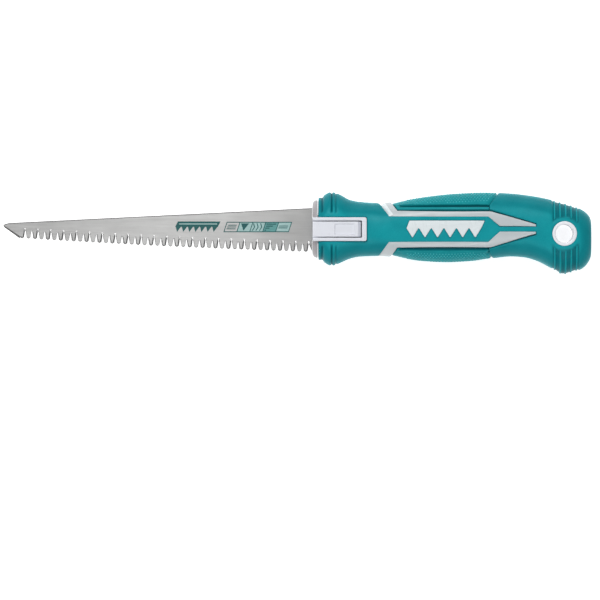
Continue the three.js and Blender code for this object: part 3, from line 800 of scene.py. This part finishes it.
def dotTree():
    tree, given, result = newTree("gripDots", [("Dot Radius", "Float"), ("Dot Height", "Float"),
                                               ("Seed", "Int"), ("Material", "Material")])
    direction = add(tree, "GeometryNodeInputNamedAttribute", {"data_type": "FLOAT_VECTOR"}, Name="direction")
    turned = add(tree, "FunctionNodeAlignRotationToVector", {"axis": "Z"}, Vector=direction["Attribute"])
    dome = add(tree, "GeometryNodeMeshUVSphere", Segments=10, Rings=6, Radius=1.0)["Mesh"]
    vary = randomNumber(tree, 0.94, 1.06, given["Seed"])
    wide = maths(tree, "MULTIPLY", given["Dot Radius"], vary)
    size = add(tree, "ShaderNodeCombineXYZ", X=wide, Y=wide, Z=given["Dot Height"])["Vector"]
    dots = add(tree, "GeometryNodeInstanceOnPoints", Points=given["Geometry"], Instance=dome,
               Rotation=turned["Rotation"], Scale=size)["Instances"]
    endTree(tree, dots, given, result)
    return tree


def ribTree():
    tree, given, result = newTree("mouldedRibs", [("Rib Radius", "Float"), ("Sides", "Int"),
                                                  ("Material", "Material")])
    curve = add(tree, "GeometryNodeMeshToCurve", Mesh=given["Geometry"])["Curve"]
    along = add(tree, "GeometryNodeSplineParameter")["Factor"]
    centred = add(tree, "ShaderNodeMapRange", Value=along, From_Min=0.0, From_Max=1.0, To_Min=-1.0,
                  To_Max=1.0)["Result"]
    nearEnd = maths(tree, "POWER", maths(tree, "ABSOLUTE", centred), 14.0)
    taper = maths(tree, "SQRT", maths(tree, "SUBTRACT", 1.02, nearEnd))
    shaped = add(tree, "GeometryNodeSetCurveRadius", Curve=curve, Radius=taper)["Curve"]
    profile = add(tree, "GeometryNodeCurvePrimitiveCircle", Radius=given["Rib Radius"],
                  Resolution=given["Sides"])
    swept = add(tree, "GeometryNodeCurveToMesh", Curve=shaped, Profile_Curve=profile["Curve"],
                Fill_Caps=True)["Mesh"]
    if "Scale" in tree.nodes[-1].inputs:   # where the curve's own radius doesn't size the profile
        tree.links.new(taper, tree.nodes[-1].inputs["Scale"])
    endTree(tree, swept, given, result)
    return tree


def coilTree():
    tree, given, result = newTree("coilSpring", [("Turns", "Float"), ("Coil Radius", "Float"),
                                                 ("Wire Radius", "Float"), ("Height", "Float"),
                                                 ("Base", "Vector"), ("Material", "Material")])
    spiral = add(tree, "GeometryNodeCurveSpiral", Resolution=32, Rotations=given["Turns"],
                 Height=given["Height"], Start_Radius=given["Coil Radius"],
                 End_Radius=given["Coil Radius"])["Curve"]
    wire = add(tree, "GeometryNodeCurvePrimitiveCircle", Radius=given["Wire Radius"], Resolution=12)["Curve"]
    coil = add(tree, "GeometryNodeCurveToMesh", Curve=spiral, Profile_Curve=wire, Fill_Caps=True)["Mesh"]
    placed = add(tree, "GeometryNodeTransform", Geometry=coil, Translation=given["Base"])["Geometry"]
    endTree(tree, placed, given, result)
    return tree


def screwTree():
    tree, given, result = newTree("caseScrews", [("Screw", "Object"), ("Seed", "Int"),
                                                 ("Material", "Material")])
    screw = add(tree, "GeometryNodeObjectInfo", Object=given["Screw"])["Geometry"]
    turn = randomNumber(tree, 0.0, math.pi / 2, given["Seed"])
    rotation = add(tree, "ShaderNodeCombineXYZ", Z=turn)["Vector"]
    placed = add(tree, "GeometryNodeInstanceOnPoints", Points=given["Geometry"], Instance=screw,
                 Rotation=rotation)["Instances"]
    endTree(tree, placed, given, result)
    return tree


def dotsOn(name, side, outward, seed):   # rows of small domes over a pad, following its slanted ends
    pitch, row = pad["dotPitch"], pad["dotRow"]
    flat = []
    edge = padLoops[0] if outward > 0 else padLoops[1]
    for i in range(int(60 / pitch)):
        for j in range(int(fullWrap / row)):
            flat.append((40 + pitch * (i + 0.5 * (j % 2)), row * (j + 0.5)))
    flat = np.array(flat)
    y = baseSurface(flat, side, 0)[:, 1] * outward
    clear = pad["dotClear"]
    fits = (depthIn(flat, edge) > pad["dotBorder"]) & (y > pad["groove"][outward][1] + clear)
    fits &= (flat[:, 0] > pad["dotStart"]) & (flat[:, 1] > clear) & (flat[:, 1] < fullWrap - clear)
    flat = flat[fits]
    low = surface(flat, side, 0, -pad["depth"] - 0.04)
    high = surface(flat, side, 0, 1.0)
    directions = (high - low) / np.linalg.norm(high - low, axis=1)[:, None]
    return runTree(name, dots, toRow(low), directions=directions, DotRadius=pad["dotRadius"] * mm,
                   DotHeight=pad["dotHeight"] * mm, Seed=seed, Material=litDotRubber)


def tailRibsOn(name, side):   # thin ribs across the recessed panels above and below the hang hole
    points, edges = [], []
    for i in range(tailRibs["count"]):
        at = tailRibs["first"] + tailRibs["pitch"] * i
        v = np.linspace(tailRibs["edge"], fullWrap - tailRibs["edge"], 220)
        flat = np.column_stack([np.full_like(v, at), v])
        x, y, _ = baseSurface(flat, side, 0).T
        kept = (pastEyelet(x, y) > 0.5) & (np.abs(y - eyelet["y"]) > tailRibs["start"])
        sunk = toRow(surface(flat, side, 0, tailRibs["proud"] - tailRibs["recess"]))
        for k in range(len(v)):
            if kept[k]:
                points.append(sunk[k])
                if k and kept[k - 1]:
                    edges.append((len(points) - 2, len(points) - 1))
    return runTree(name, ribs, points, edges, RibRadius=tailRibs["radius"] * mm, Sides=14,
                   Material=gripRubber)


dots, ribs = dotTree(), ribTree()
padDots = []
for number, (edgeName, side) in enumerate(pads):
    outward = 1 if edgeName == "palm" else -1
    padDots.append(dotsOn(edgeName + "Dots" + sideName[side], side, outward, number))
ribPieces = [tailRibsOn("tailRibs" + sideName[side], side) for side in sideName]
print("dots and ribs made", [len(d.data.polygons) for d in (*padDots, *ribPieces)])


# Solids drawn as stacked outlines

def roundCorners(outline, radius, count=6):
    points = []
    for i, corner in enumerate(outline):
        here = Vector(corner)
        size = radius[i] if isinstance(radius, (list, tuple)) else radius
        if size <= 0:
            points.append(tuple(here))
            continue
        to, past = Vector(outline[i - 1]) - here, Vector(outline[(i + 1) % len(outline)]) - here
        reach = min(size / math.tan(max(to.angle(past), 0.01) / 2), to.length / 2, past.length / 2)
        start, end = here + to.normalized() * reach, here + past.normalized() * reach
        for k in range(count + 1):
            t = k / count
            points.append(tuple(start * (1 - t) ** 2 + here * 2 * t * (1 - t) + end * t * t))
    return points


def stacked(name, levels, axis="z", sharp=35):
    # levels are (outline, height) pairs with as many points each; axis is the way they are stacked
    count, points, faces = len(levels[0][0]), [], []
    for outline, height in levels:
        for a, b in outline:
            points.append({"z": (a, b, height), "x": (height, a, b), "y": (a, height, b)}[axis])
    for level in range(len(levels) - 1):
        for k in range(count):
            a, b = level * count + k, level * count + (k + 1) % count
            faces.append((a, b, b + count, a + count))
    faces += [tuple(range(count))[::-1], tuple(range((len(levels) - 1) * count, len(levels) * count))]
    thing = meshObject(name, toRow(points), faces, sharp)
    rework(thing, lambda work: bmesh.ops.triangulate(work, faces=[f for f in work.faces if len(f.verts) > 4]),
           turnOut)
    thing.data.set_sharp_from_angle(angle=math.radians(sharp))
    return thing


def easedLevels(outline, low, high, radius, bottom=False, count=4):
    # levels with a rounded top edge, and a rounded bottom edge if asked
    loop = np.array(outline, float)
    following = np.roll(loop, -1, axis=0)
    if np.sum(loop[:, 0] * following[:, 1] - following[:, 0] * loop[:, 1]) < 0:
        loop = loop[::-1]
    turns = [math.pi / 2 * k / count for k in range(count + 1)]
    arcs = [(radius * (1 - math.sin(t)), radius * (1 - math.cos(t))) for t in turns]
    levels = [(grown(loop, -a), low + b) for a, b in arcs] if bottom else [(loop, low)]
    return levels + [(grown(loop, -b), high - a) for a, b in arcs]


def prism(outline, low, high, axis="z"):
    return stacked("tool", [(outline, low), (outline, high)], axis)


def block(x, y, z):
    return prism(rectangle(x, y), *z)


def rod(axis, at, radius, low, high, sides=32):
    return prism(ring(*at, radius, sides), low, high, axis)


def carve(thing, *tools, operation="DIFFERENCE"):
    for tool in tools:
        modifier = thing.modifiers.new("carve", "BOOLEAN")
        modifier.operation, modifier.solver, modifier.object = operation, "EXACT", tool
        bakeMesh(thing)
        bpy.data.objects.remove(tool)
    tidyMesh(thing, 30)
    return thing


def levelFlats(thing):   # flat faces shade level, and the narrow ones beside them carry the rounding
    rework(thing, lambda work: bmesh.ops.dissolve_limit(work, angle_limit=math.radians(0.2), verts=work.verts,
                                                        edges=work.edges))
    modifier = thing.modifiers.new("level", "WEIGHTED_NORMAL")
    modifier.weight, modifier.keep_sharp = 100, True
    bakeMesh(thing)


def joined(name, *things):
    work = bmesh.new()
    for thing in things:
        work.from_mesh(thing.data)
        bpy.data.objects.remove(thing)
    mesh = bpy.data.meshes.new(name)
    work.to_mesh(mesh)
    work.free()
    whole = bpy.data.objects.new(name, mesh)
    scene.collection.objects.link(whole)
    tidyMesh(whole, 30)
    return whole


def revolved(name, profile, place, sides=96):   # a profile of (radius, z) points that closes on itself
    points, faces, count = [], [], len(profile)
    for i in range(sides):
        t = 2 * math.pi * i / sides
        points += [(place[0] + r * math.cos(t), place[1] + r * math.sin(t), place[2] + z) for r, z in profile]
    for i in range(sides):
        for k in range(count):
            a, b = i * count, ((i + 1) % sides) * count
            faces.append((a + k, b + k, b + (k + 1) % count, a + (k + 1) % count))
    thing = meshObject(name, toRow(points), faces)
    rework(thing, turnOut)
    tidyMesh(thing)
    return thing


def arc(centre, radius, start, end, count=6):
    turns = [math.radians(start + (end - start) * k / count) for k in range(count + 1)]
    return [(centre[0] + radius * math.cos(t), centre[1] + radius * math.sin(t)) for t in turns]


# Blade

blade = {
    "length": 152.4, "half": 0.6, "spineAtCollar": 10.5, "spineAtTip": 3.3, "teethAtCollar": -11.3,
    "teethAtTip": -4.4, "bow": 0.6, "firstTooth": -144.6, "lastTooth": -0.9, "pitch": 25.4 / 8,
    "depth": 3.8, "rootHalf": 0.12, "tipHalf": 0.95, "tipRise": 0.6, "tangLength": 36, "tangHalf": 5.5,
    "wideBevel": 0.6, "narrowBevel": 0.16, "highRun": 1.5, "lowRun": 0.35, "land": 0.14,
    "front": -0.15, "tangCorner": 1.5, "noseRun": 5.4, "noseDrop": 1.45,
}
hookHole = {"x": (2.1, 5.9), "y": (-1.85, 1.85)}
teethRise = (blade["teethAtCollar"] - blade["teethAtTip"]) / -blade["firstTooth"]


def teethLine(x):
    along = (x - blade["firstTooth"]) / -blade["firstTooth"]
    bow = blade["bow"] * math.sin(math.pi * along)
    return blade["teethAtTip"] + teethRise * (x - blade["firstTooth"]) - bow


def bladeEdge(face):
    # the outline at mid-thickness (face 0), or drawn in by the bevels on one face (1 or -1)
    b = blade
    drawn = []

    def put(x, y, dx=0.0, dy=0.0):
        drawn.append((x + dx * abs(face), y + dy * abs(face)))
    put(b["firstTooth"] + 0.4, teethLine(b["firstTooth"]), 0.35, 0.9)
    for i in range(int((b["lastTooth"] - b["firstTooth"]) / b["pitch"])):
        tip = b["firstTooth"] + b["pitch"] * (i + 0.5)
        root = b["firstTooth"] + b["pitch"] * (i + 1)
        ground = b["wideBevel"] if (i % 2 == 0) == (face > 0) else b["narrowBevel"]
        following = b["wideBevel"] if (i % 2 == 1) == (face > 0) else b["narrowBevel"]
        run = b["highRun"] if (i % 2 == 0) == (face > 0) else b["lowRun"]
        line = teethLine(tip)
        put(tip - b["tipHalf"], line + b["tipRise"], ground, 0.5)
        put(tip, line, 0.0, 0.5)
        put(tip + b["tipHalf"], line + b["tipRise"], -ground, 0.5)
        put(root - b["rootHalf"], teethLine(root) + b["depth"], -ground * 0.7, run)
        put(root + b["rootHalf"], teethLine(root) + b["depth"], following * 0.7, run)
    corner, end, half = b["tangCorner"], b["tangLength"], b["tangHalf"]
    put(b["front"], b["teethAtCollar"], 0, 0.3)
    for x, y in ((b["front"], -half), (end - corner, -half), (end, corner - half), (end, half - corner),
                 (end - corner, half), (b["front"], half)):
        put(x, y)
    put(b["front"], b["spineAtCollar"], 0, -0.4)
    put(5.5 - b["length"], b["spineAtTip"] - 0.05, 0.3, -0.4)
    for t in np.linspace(0.2, 1, 5):   # the rounded nose
        put(0.1 - b["length"] + b["noseRun"] * (1 - t) ** 1.6, b["spineAtTip"] - b["noseDrop"] * t ** 1.8,
            0.5, -0.4 + 0.3 * t)
    put(0.55 - b["length"], b["spineAtTip"] - 2.3, 0.75, 0.35)
    return drawn


def makeBlade():
    half, land, sharp = blade["half"], blade["land"], 12
    levels = [(bladeEdge(-1), -half), (bladeEdge(0), -land), (bladeEdge(0), land), (bladeEdge(1), half)]
    thing = stacked("sawBlade", levels, sharp=sharp)
    carve(thing, block(hookHole["x"], hookHole["y"], (-3, 3)))
    thing.data.set_sharp_from_angle(angle=math.radians(sharp))
    dressed(thing, bladeSteel, shadedGroundSteel, shadedSpineSteel)
    for face in thing.data.polygons:   # painted shade: the ground edges take darker steel than the faces, and the edges facing the spine darker still
        edge = 2 if face.normal.y > 0.3 else 1
        face.material_index = 0 if abs(face.normal.z) > 0.98 else edge
    return thing


cells = {"left": -43.9, "right": -10.4, "low": -1.4, "high": 3.7, "slant": 1.7, "count": 5, "line": 0.42,
         "film": 0.012, "inset": 0.75}
toothMark = {"left": -67.6, "right": -46.6, "low": -1.3, "bar": 1.2, "high": 3.9, "teeth": 7, "slant": 1.1,
             "notch": 0.25, "slotWidth": 0.5, "halo": 0.3}


def film(name, outlines, material, level=0):   # flat printed shapes, a hair thick, on the blade's latch side
    face = blade["half"] + 0.001 + level * cells["film"]
    return dressed(joined(name, *[prism(o, face, face + cells["film"]) for o in outlines]), material)


def slanted(left, right, low, high):
    lean = cells["slant"] / (cells["high"] - cells["low"])
    corners = rectangle((left, right), (low, high))
    return [(x + (y - cells["low"]) * lean, y) for x, y in corners]


def makePrint():
    c, low, high = cells, cells["low"] + cells["line"], cells["high"] - cells["line"]
    width = (c["right"] - c["left"] - c["slant"]) / c["count"]
    edges = [c["left"] + width * i for i in range(c["count"] + 1)]
    dark = [slanted(c["left"], edges[-1] + c["line"], y, y + c["line"]) for y in (c["low"], high)]
    dark += [slanted(x, x + c["line"], low, high) for x in edges]
    middle, foot, head = (c["low"] + c["high"]) / 2, c["low"] + c["inset"], c["high"] - c["inset"]

    def bars(cell, heights):
        return [slanted(edges[cell] + 1.0, edges[cell + 1] - 0.9, middle + at, middle + at + c["line"])
                for at in heights]
    # generic fills: bars, a tooth, a wave of chevrons, steps and bars again
    dark += bars(0, (-1.1, -0.2, 0.7))
    dark.append([(edges[1] + 3.5, foot), (edges[2], head), (edges[1] + 2.4, head)])
    fields = [slanted(edges[i] + c["line"], edges[i + 1], low, high) for i in (1, 2, 4)]
    middleField = [slanted(edges[3] + c["line"], edges[4], low, high)]
    chevron = [(0, foot), (0.5, foot), (1.6, middle), (1.1, head), (0.6, head), (1.1, middle)]
    for i in range(3):
        dark.append([(edges[2] + 1.3 + i * 1.75 + x, y) for x, y in chevron])
    for i in range(4):
        step = c["low"] + i
        dark.append(slanted(edges[3] + 0.9, edges[3] + 1.6 + 1.35 * i, step + 0.7, step + 1.25))
    dark += bars(4, (-0.65, 0.25))
    t = toothMark
    pitch = (t["right"] - t["left"]) / t["teeth"]
    mark = [(t["left"] + t["slant"] * 1.2, t["high"]), (t["left"], t["bar"])]
    for i in range(t["teeth"]):
        left = t["left"] + pitch * i
        mark += [(left + t["notch"], t["bar"]), (left + pitch * 0.3, t["low"]),
                 (left + pitch * 0.92, t["bar"])]
    mark += [(t["right"], t["bar"]), (t["right"] + t["slant"] * 1.2, t["high"])]
    slotTop = t["high"] - 1.0
    markBar = film("printedMark", [mark], bladeInk, 1)
    carve(markBar, block((t["left"] + 1.9, t["right"] - 0.4), (slotTop - t["slotWidth"], slotTop), (-1, 2)))
    halo = [tuple(point) for point in grown(np.array(mark)[::-1], t["halo"])]
    return [film("printedCells", dark, bladeInk, 1), film("printedFields", fields, bladeInkPale),
            film("printedField", middleField, bladeInkMiddle),
            film("printedHalo", [halo], bladeInkPale), markBar]


# Blade holder, latch, pin and spring

collar = {"thickness": 2.5, "halfWidth": 14.2, "halfHeight": 10.4, "middle": 0.2, "rounding": 2.4, "run": 2.0}
holderBlock = {"x": (1, 48), "y": (-6.9, 6.9), "z": (-5, 7.2), "bore": 3.6, "tangRear": 36.15,
               "tangHalf": 5.65, "tangSlot": 0.75, "hookRear": 6.6}
latch = {"front": 0.1, "rear": 22.6, "end": 23.75, "endLow": 10.9, "endHigh": 11.3, "topRear": 22.35,
         "half": 3.75, "edge": 0.3, "hookEdge": 0.2, "peg": 1.1, "dishCorner": 1.0, "dishSlope": 0.5,
         "top": 12.9, "under": 9.8, "pivotX": 11.5, "pivotZ": 5.6, "boss": 2.4,
         "hookFront": 3.6, "hookRear": 5.6, "hookHalf": 1.7, "hookTip": -0.9,
         "padFront": 10.8, "padRear": 20.6,
         "padHalf": 2.75, "padDepth": 0.6}
pin = {"radius": 1.0, "half": 6.8, "hole": 1.15, "edge": 0.25}
spring = {"x": 18.2, "radius": 1.9, "wire": 0.3, "turns": 6.0, "play": 0.15}


def sectionRing(halfY, halfZ, middle, sides=96):
    points = []
    for k in range(sides):
        t = 2 * math.pi * k / sides
        c, s = math.cos(t), math.sin(t)
        r = (abs(c) ** handle["squareness"] + abs(s) ** handle["squareness"]) ** (-1 / handle["squareness"])
        points.append((middle + halfY * r * c, halfZ * r * s))
    return points


def makeHolder():
    c, w, h = collar, window, holderBlock
    levels = []
    for k in range(7):   # the collar's eased front edge
        t = math.pi / 2 * k / 6
        draw = c["rounding"] * (1 - math.sin(t))
        levels.append((sectionRing(c["halfWidth"] - draw, c["halfHeight"] - draw, c["middle"]),
                       c["run"] * (1 - math.cos(t))))
    levels.append((sectionRing(c["halfWidth"], c["halfHeight"], c["middle"]), c["thickness"]))
    plate = stacked("tool", levels, "x")
    front, corners = 0.02, [0.4, 1.1, 1.1, 0.4, 0, 0.45, 0.45, 0]
    outside = rectangle((front, w["frameRear"]), (-w["frameHalf"], w["frameHalf"]))
    inside = rectangle((front, w["rear"]), (-w["half"], w["half"]))
    frameOutline = roundCorners(outside + inside[::-1], corners)
    rim = stacked("bladeHolder", easedLevels(frameOutline, w["floor"], w["frameTop"], 0.28))
    room = ((-1, w["rear"]), (-w["half"], w["half"]), (w["floor"], 40))
    carve(plate, block(*room))
    base = block(h["x"], h["y"], h["z"])
    carve(base, block(*room), rod("z", screws[2][:2], h["bore"], -20, 20))
    whole = carve(rim, plate, base, operation="UNION")
    tang = block((-1, h["tangRear"]), (-h["tangHalf"], h["tangHalf"]), (-h["tangSlot"], h["tangSlot"]))
    hookWay = block((hookHole["x"][0], h["hookRear"]), hookHole["y"], (-1.3, 3.6))
    pinHole = rod("y", (latch["pivotX"], latch["pivotZ"]), pin["hole"], -9, 9)
    hollow = [(w["rear"] - 1, w["floor"]), (w["hollowRear"], w["floor"]), (w["hollowRear"], w["hollowFull"]),
              (w["rear"], w["hollowTop"]), (w["rear"] - 1, w["hollowTop"])]
    carve(whole, tang, hookWay, pinHole, prism(hollow, -w["half"], w["half"], "y"))
    dressed(whole, holderPlastic, shadedCollarPlastic)
    # painted shade: the collar's faces round the frame take the darker grey copy
    for face in whole.data.polygons:
        x, y, _ = face.center / mm - origin
        face.material_index = 1 if x < handle["front"] and abs(y) > w["frameHalf"] + 0.05 else 0
    return whole


def makeLatch():
    q = latch
    side = [(q["front"], q["top"]), (q["front"], q["under"] - 0.4), (3.0, q["under"] - 0.4),
            (3.2, q["pivotZ"]),
            (q["hookRear"], q["pivotZ"] - 1.6), *arc((q["pivotX"], q["pivotZ"]), q["boss"], 180, 360, 14),
            (q["pivotX"] + q["boss"] + 1.6, q["under"]), (q["rear"], q["under"]), (q["end"], q["endLow"]),
            (q["end"], q["endHigh"]), (q["topRear"], q["top"]), (q["pivotX"] - 1.3, q["top"])]
    rounding = [0.6, 0.4, 0.2, 0.4, 0.4] + [0] * 15 + [0.4, 0.25, 0.15, 0.15, 0.25, 0]
    outline = roundCorners(side, rounding)
    thing = stacked("latchLever", easedLevels(outline, -q["half"], q["half"], q["edge"], bottom=True), "y")
    hook = rectangle((q["hookFront"], q["hookRear"]), (q["hookTip"], q["pivotZ"] + 1))
    leg = stacked("tool", easedLevels(hook, -q["hookHalf"], q["hookHalf"], q["hookEdge"], bottom=True), "y")
    peg = rod("z", (spring["x"], 0), q["peg"], q["under"] - 0.9, q["under"] + 0.5)
    carve(thing, leg, peg, operation="UNION")
    dish = rectangle((q["padFront"], q["padRear"]), (-q["padHalf"], q["padHalf"]))
    loop, levels = np.array(roundCorners(dish, q["dishCorner"])), []
    for t in np.linspace(0, 1, 6):   # the thumb pad's dished walls ease into its floor
        wall = grown(loop, -q["dishSlope"] * (1 - t) ** 2)
        levels.append((wall, q["top"] - q["padDepth"] + (q["padDepth"] + 0.02) * t))
    levels.append((grown(loop, 0.25), q["top"] + 0.14))
    levels.append((grown(loop, 0.3), q["top"] + 2))
    carve(thing, stacked("tool", levels), rod("y", (q["pivotX"], q["pivotZ"]), pin["hole"], -9, 9))
    levelFlats(thing)
    return dressed(thing, holderPlastic)


def makePin():
    outline = ring(latch["pivotX"], latch["pivotZ"], pin["radius"], 40)
    levels = easedLevels(outline, -pin["half"], pin["half"], pin["edge"], bottom=True)
    return dressed(stacked("latchPin", levels, "y"), smallSteel)


def makeSpring():
    low = window["floor"] + spring["play"] + spring["wire"]
    height = latch["under"] - window["floor"] - 2 * (spring["wire"] + spring["play"])
    base = toRow([(spring["x"], 0, low)])[0]
    return runTree("latchSpring", coilTree(), [(0, 0, 0)], Turns=spring["turns"],
                   CoilRadius=spring["radius"] * mm, WireRadius=spring["wire"] * mm, Height=height * mm,
                   Base=tuple(base), Material=smallSteel)


# Badge, eyelets and screws

def makeBadge():
    outline, top = roundCorners(badgeOutline(), 0.35, 4), handle["flat"] + badge["proud"]
    levels = easedLevels(outline, top - badge["thickness"], top, 0.22)
    return dressed(stacked("sawBadge", levels), badgePlastic)


def makeEyelets():
    e = eyelet
    level = handle["flat"] - e["below"]
    flange = arc((e["flange"] - 0.45, -0.45), 0.45, 0, 90) + arc((e["bore"] + 0.5, -0.5), 0.5, 90, 180)
    made = []
    for name, side, inner, length in (("eyeletLatchSide", 1, e["bore"], 2 * level - 1),
                                      ("eyeletScrewSide", -1, e["bore"] + e["wall"] + 0.15, level - 2)):
        profile = [(e["flange"], -1.3), *flange, (e["bore"], -1.25), (inner, -1.3), (inner, -length),
                   (inner + e["wall"], -length), (inner + e["wall"], -1.3)]
        if side < 0:
            profile = [(r, -z) for r, z in profile]
        made.append(dressed(revolved(name, profile, (e["x"], e["y"], side * level)), eyeletPlastic))
    return made


def makeScrews():
    h = screwHead
    rim, core = h["corner"], 0.001
    head = [(core, h["thickness"]), *arc((h["radius"] - rim, h["thickness"] - rim), rim, 90, 0),
            (h["radius"], 0), (h["shank"], 0), (h["shank"], h["shankEnd"]), (core, h["point"])]
    template = revolved("tool", head, (-origin.x, -origin.y, -origin.z), 48)
    shift = np.array(origin)
    for width, depth in (h["cross"], h["cross"][::-1]):   # the cross recess
        arm = np.array(rectangle((-width / 2, width / 2), (-depth / 2, depth / 2)))
        carve(template, stacked("tool", [
            (grown(arm, -h["draft"]) - shift[:2], h["thickness"] - h["recess"] - shift[2]),
            (arm - shift[:2], h["thickness"] + 0.2 - shift[2]),
        ]))
    template.data.transform(((1, 0, 0, 0), (0, -1, 0, 0), (0, 0, -1, 0), (0, 0, 0, 1)))
    points = toRow([(x, y, -seat - h["play"]) for x, y, seat in screws])
    placed = runTree("caseScrews", screwTree(), points, Screw=template, Seed=4, Material=smallSteel)
    bpy.data.objects.remove(template)
    return placed


def makeCups():   # the bores that the screws sit in, down to their seats
    cups, h, power = [], screwHead, handle["squareness"]
    for x, y, seat in screws:
        half, middle, thick = (float(value) for value in sectionAt(x))
        across = min(abs(y - middle) / half, 0.99)
        skin = min(thick * (1 - across ** power) ** (1 / power), handle["flat"]) - h["skin"]
        inner = h["seatDepth"] - seat
        profile = [(h["access"], -skin), (h["access"], -seat), (h["seatHole"], -seat), (h["seatHole"], inner),
                   (h["cup"], inner), (h["cup"], -skin)]
        cups.append(revolved("tool", profile, (x, y, 0), 48))
    return cups


sawBlade = makeBlade()
prints = makePrint()
holder = makeHolder()
lever = makeLatch()
latchPin = makePin()
latchSpring = makeSpring()
badgePiece = makeBadge()
eyelets = makeEyelets()
screwPieces = makeScrews()
shells[1] = dressed(joined("shellScrewSide", shells[1], *makeCups()), stripePlastic, badgePlastic)
print("blade, holder, latch and fittings made")


# What each piece rides on, and which CAD parts it stands in for, hiding them

def settle(piece, body, slot, *nodes):
    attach(piece, body)
    if nodes:
        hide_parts(*nodes)


settle(grips[0], "body", "grip_rubber", "upper_grip")
settle(grips[1], "body", "grip_rubber", "lower_grip")
settle(shells[0], "body", "shell_plastic", "upper_shell")
settle(shells[1], "body", "shell_plastic", "lower_shell")
for (edgeName, side), piece in pads.items():
    settle(piece, "body", "pad_rubber", edgeName + ("_pad_upper" if side > 0 else "_pad_lower"))
for piece in padDots:
    settle(piece, "body", "pad_rubber")
for piece in ribPieces:
    settle(piece, "body", "grip_rubber")
settle(sawBlade, "body", "blade_steel", "blade")
for piece in prints:
    settle(piece, "body", "blade_steel")
settle(holder, "body", "holder_plastic", "blade_holder")
settle(lever, "latch", "holder_plastic", "latch_lever")
settle(latchPin, "body", "small_steel", "latch_pin")
settle(latchSpring, "body", "small_steel", "latch_spring")
settle(badgePiece, "body", "shell_plastic", "badge_inlay")
settle(eyelets[0], "body", "eyelet_plastic", "eyelet_upper")
settle(eyelets[1], "body", "eyelet_plastic", "eyelet_lower")
settle(screwPieces, "body", "small_steel", "screw_nose_palm", "screw_nose_finger", "screw_middle",
       "screw_rear_palm", "screw_rear_finger")


# Floor, light and camera

stage = {"floor": 6.0, "pale": (0.86, 0.86, 0.86), "glow": 0.66, "view": 0.2955, "lens": 500,
         "sensor": 36, "aimX": 0.0015, "aimY": -0.0328, "sky": 0.24}
lights = {   # where each one stands, its size and its power; all of them look at the middle
    "keyLight": ((-0.25, 0.72, 1.4), (1.0, 0.4), 14),
    "fillLight": ((0.2, -0.8, 1.35), (1.0, 0.4), 7),
    "palmRim": ((0.1, 1.6, 0.25), (1.4, 0.3), 4),
    "fingerRim": ((0.1, -1.6, 0.25), (1.4, 0.3), 2),
    "leftLight": ((-1.4, 0.1, 0.6), (0.4, 0.8), 3),
}


def makeFloor():
    bpy.ops.mesh.primitive_plane_add(size=stage["floor"], location=(0, 0, -0.0001))
    floor = bpy.context.object
    floor.name = "floor"
    dressed(floor, finish("paleFloor", stage["pale"], 0.75, Specular_IOR_Level=0.2,
                          Emission_Color=(1, 1, 1, 1), Emission_Strength=stage["glow"]))


def makeLight(name, place, size, power):
    light = bpy.data.lights.new(name, "AREA")
    light.shape, light.size, light.size_y = "RECTANGLE", size[0], size[1]
    light.energy = power
    thing = bpy.data.objects.new(name, light)
    scene.collection.objects.link(thing)
    thing.location = place
    thing.rotation_euler = (-Vector(place)).to_track_quat("-Z", "Y").to_euler()
    thing.visible_camera = False


def makeCamera():
    camera = bpy.data.cameras.new("camera")
    camera.lens, camera.sensor_width = stage["lens"], stage["sensor"]
    thing = bpy.data.objects.new("camera", camera)
    scene.collection.objects.link(thing)
    away = stage["view"] * stage["lens"] / camera.sensor_width + float(cadBox[1].z) / 2
    thing.location = (stage["aimX"], stage["aimY"], away)
    scene.camera = thing


makeFloor()
for lightName, settings in lights.items():
    makeLight(lightName, *settings)
makeCamera()
world = bpy.data.worlds.new("studio")
scene.world = world
world.use_nodes = True
backdrop = world.node_tree.nodes["Background"].inputs
backdrop["Color"].default_value, backdrop["Strength"].default_value = (1, 1, 1, 1), stage["sky"]
scene.view_settings.view_transform = "Standard"
print("stage set")
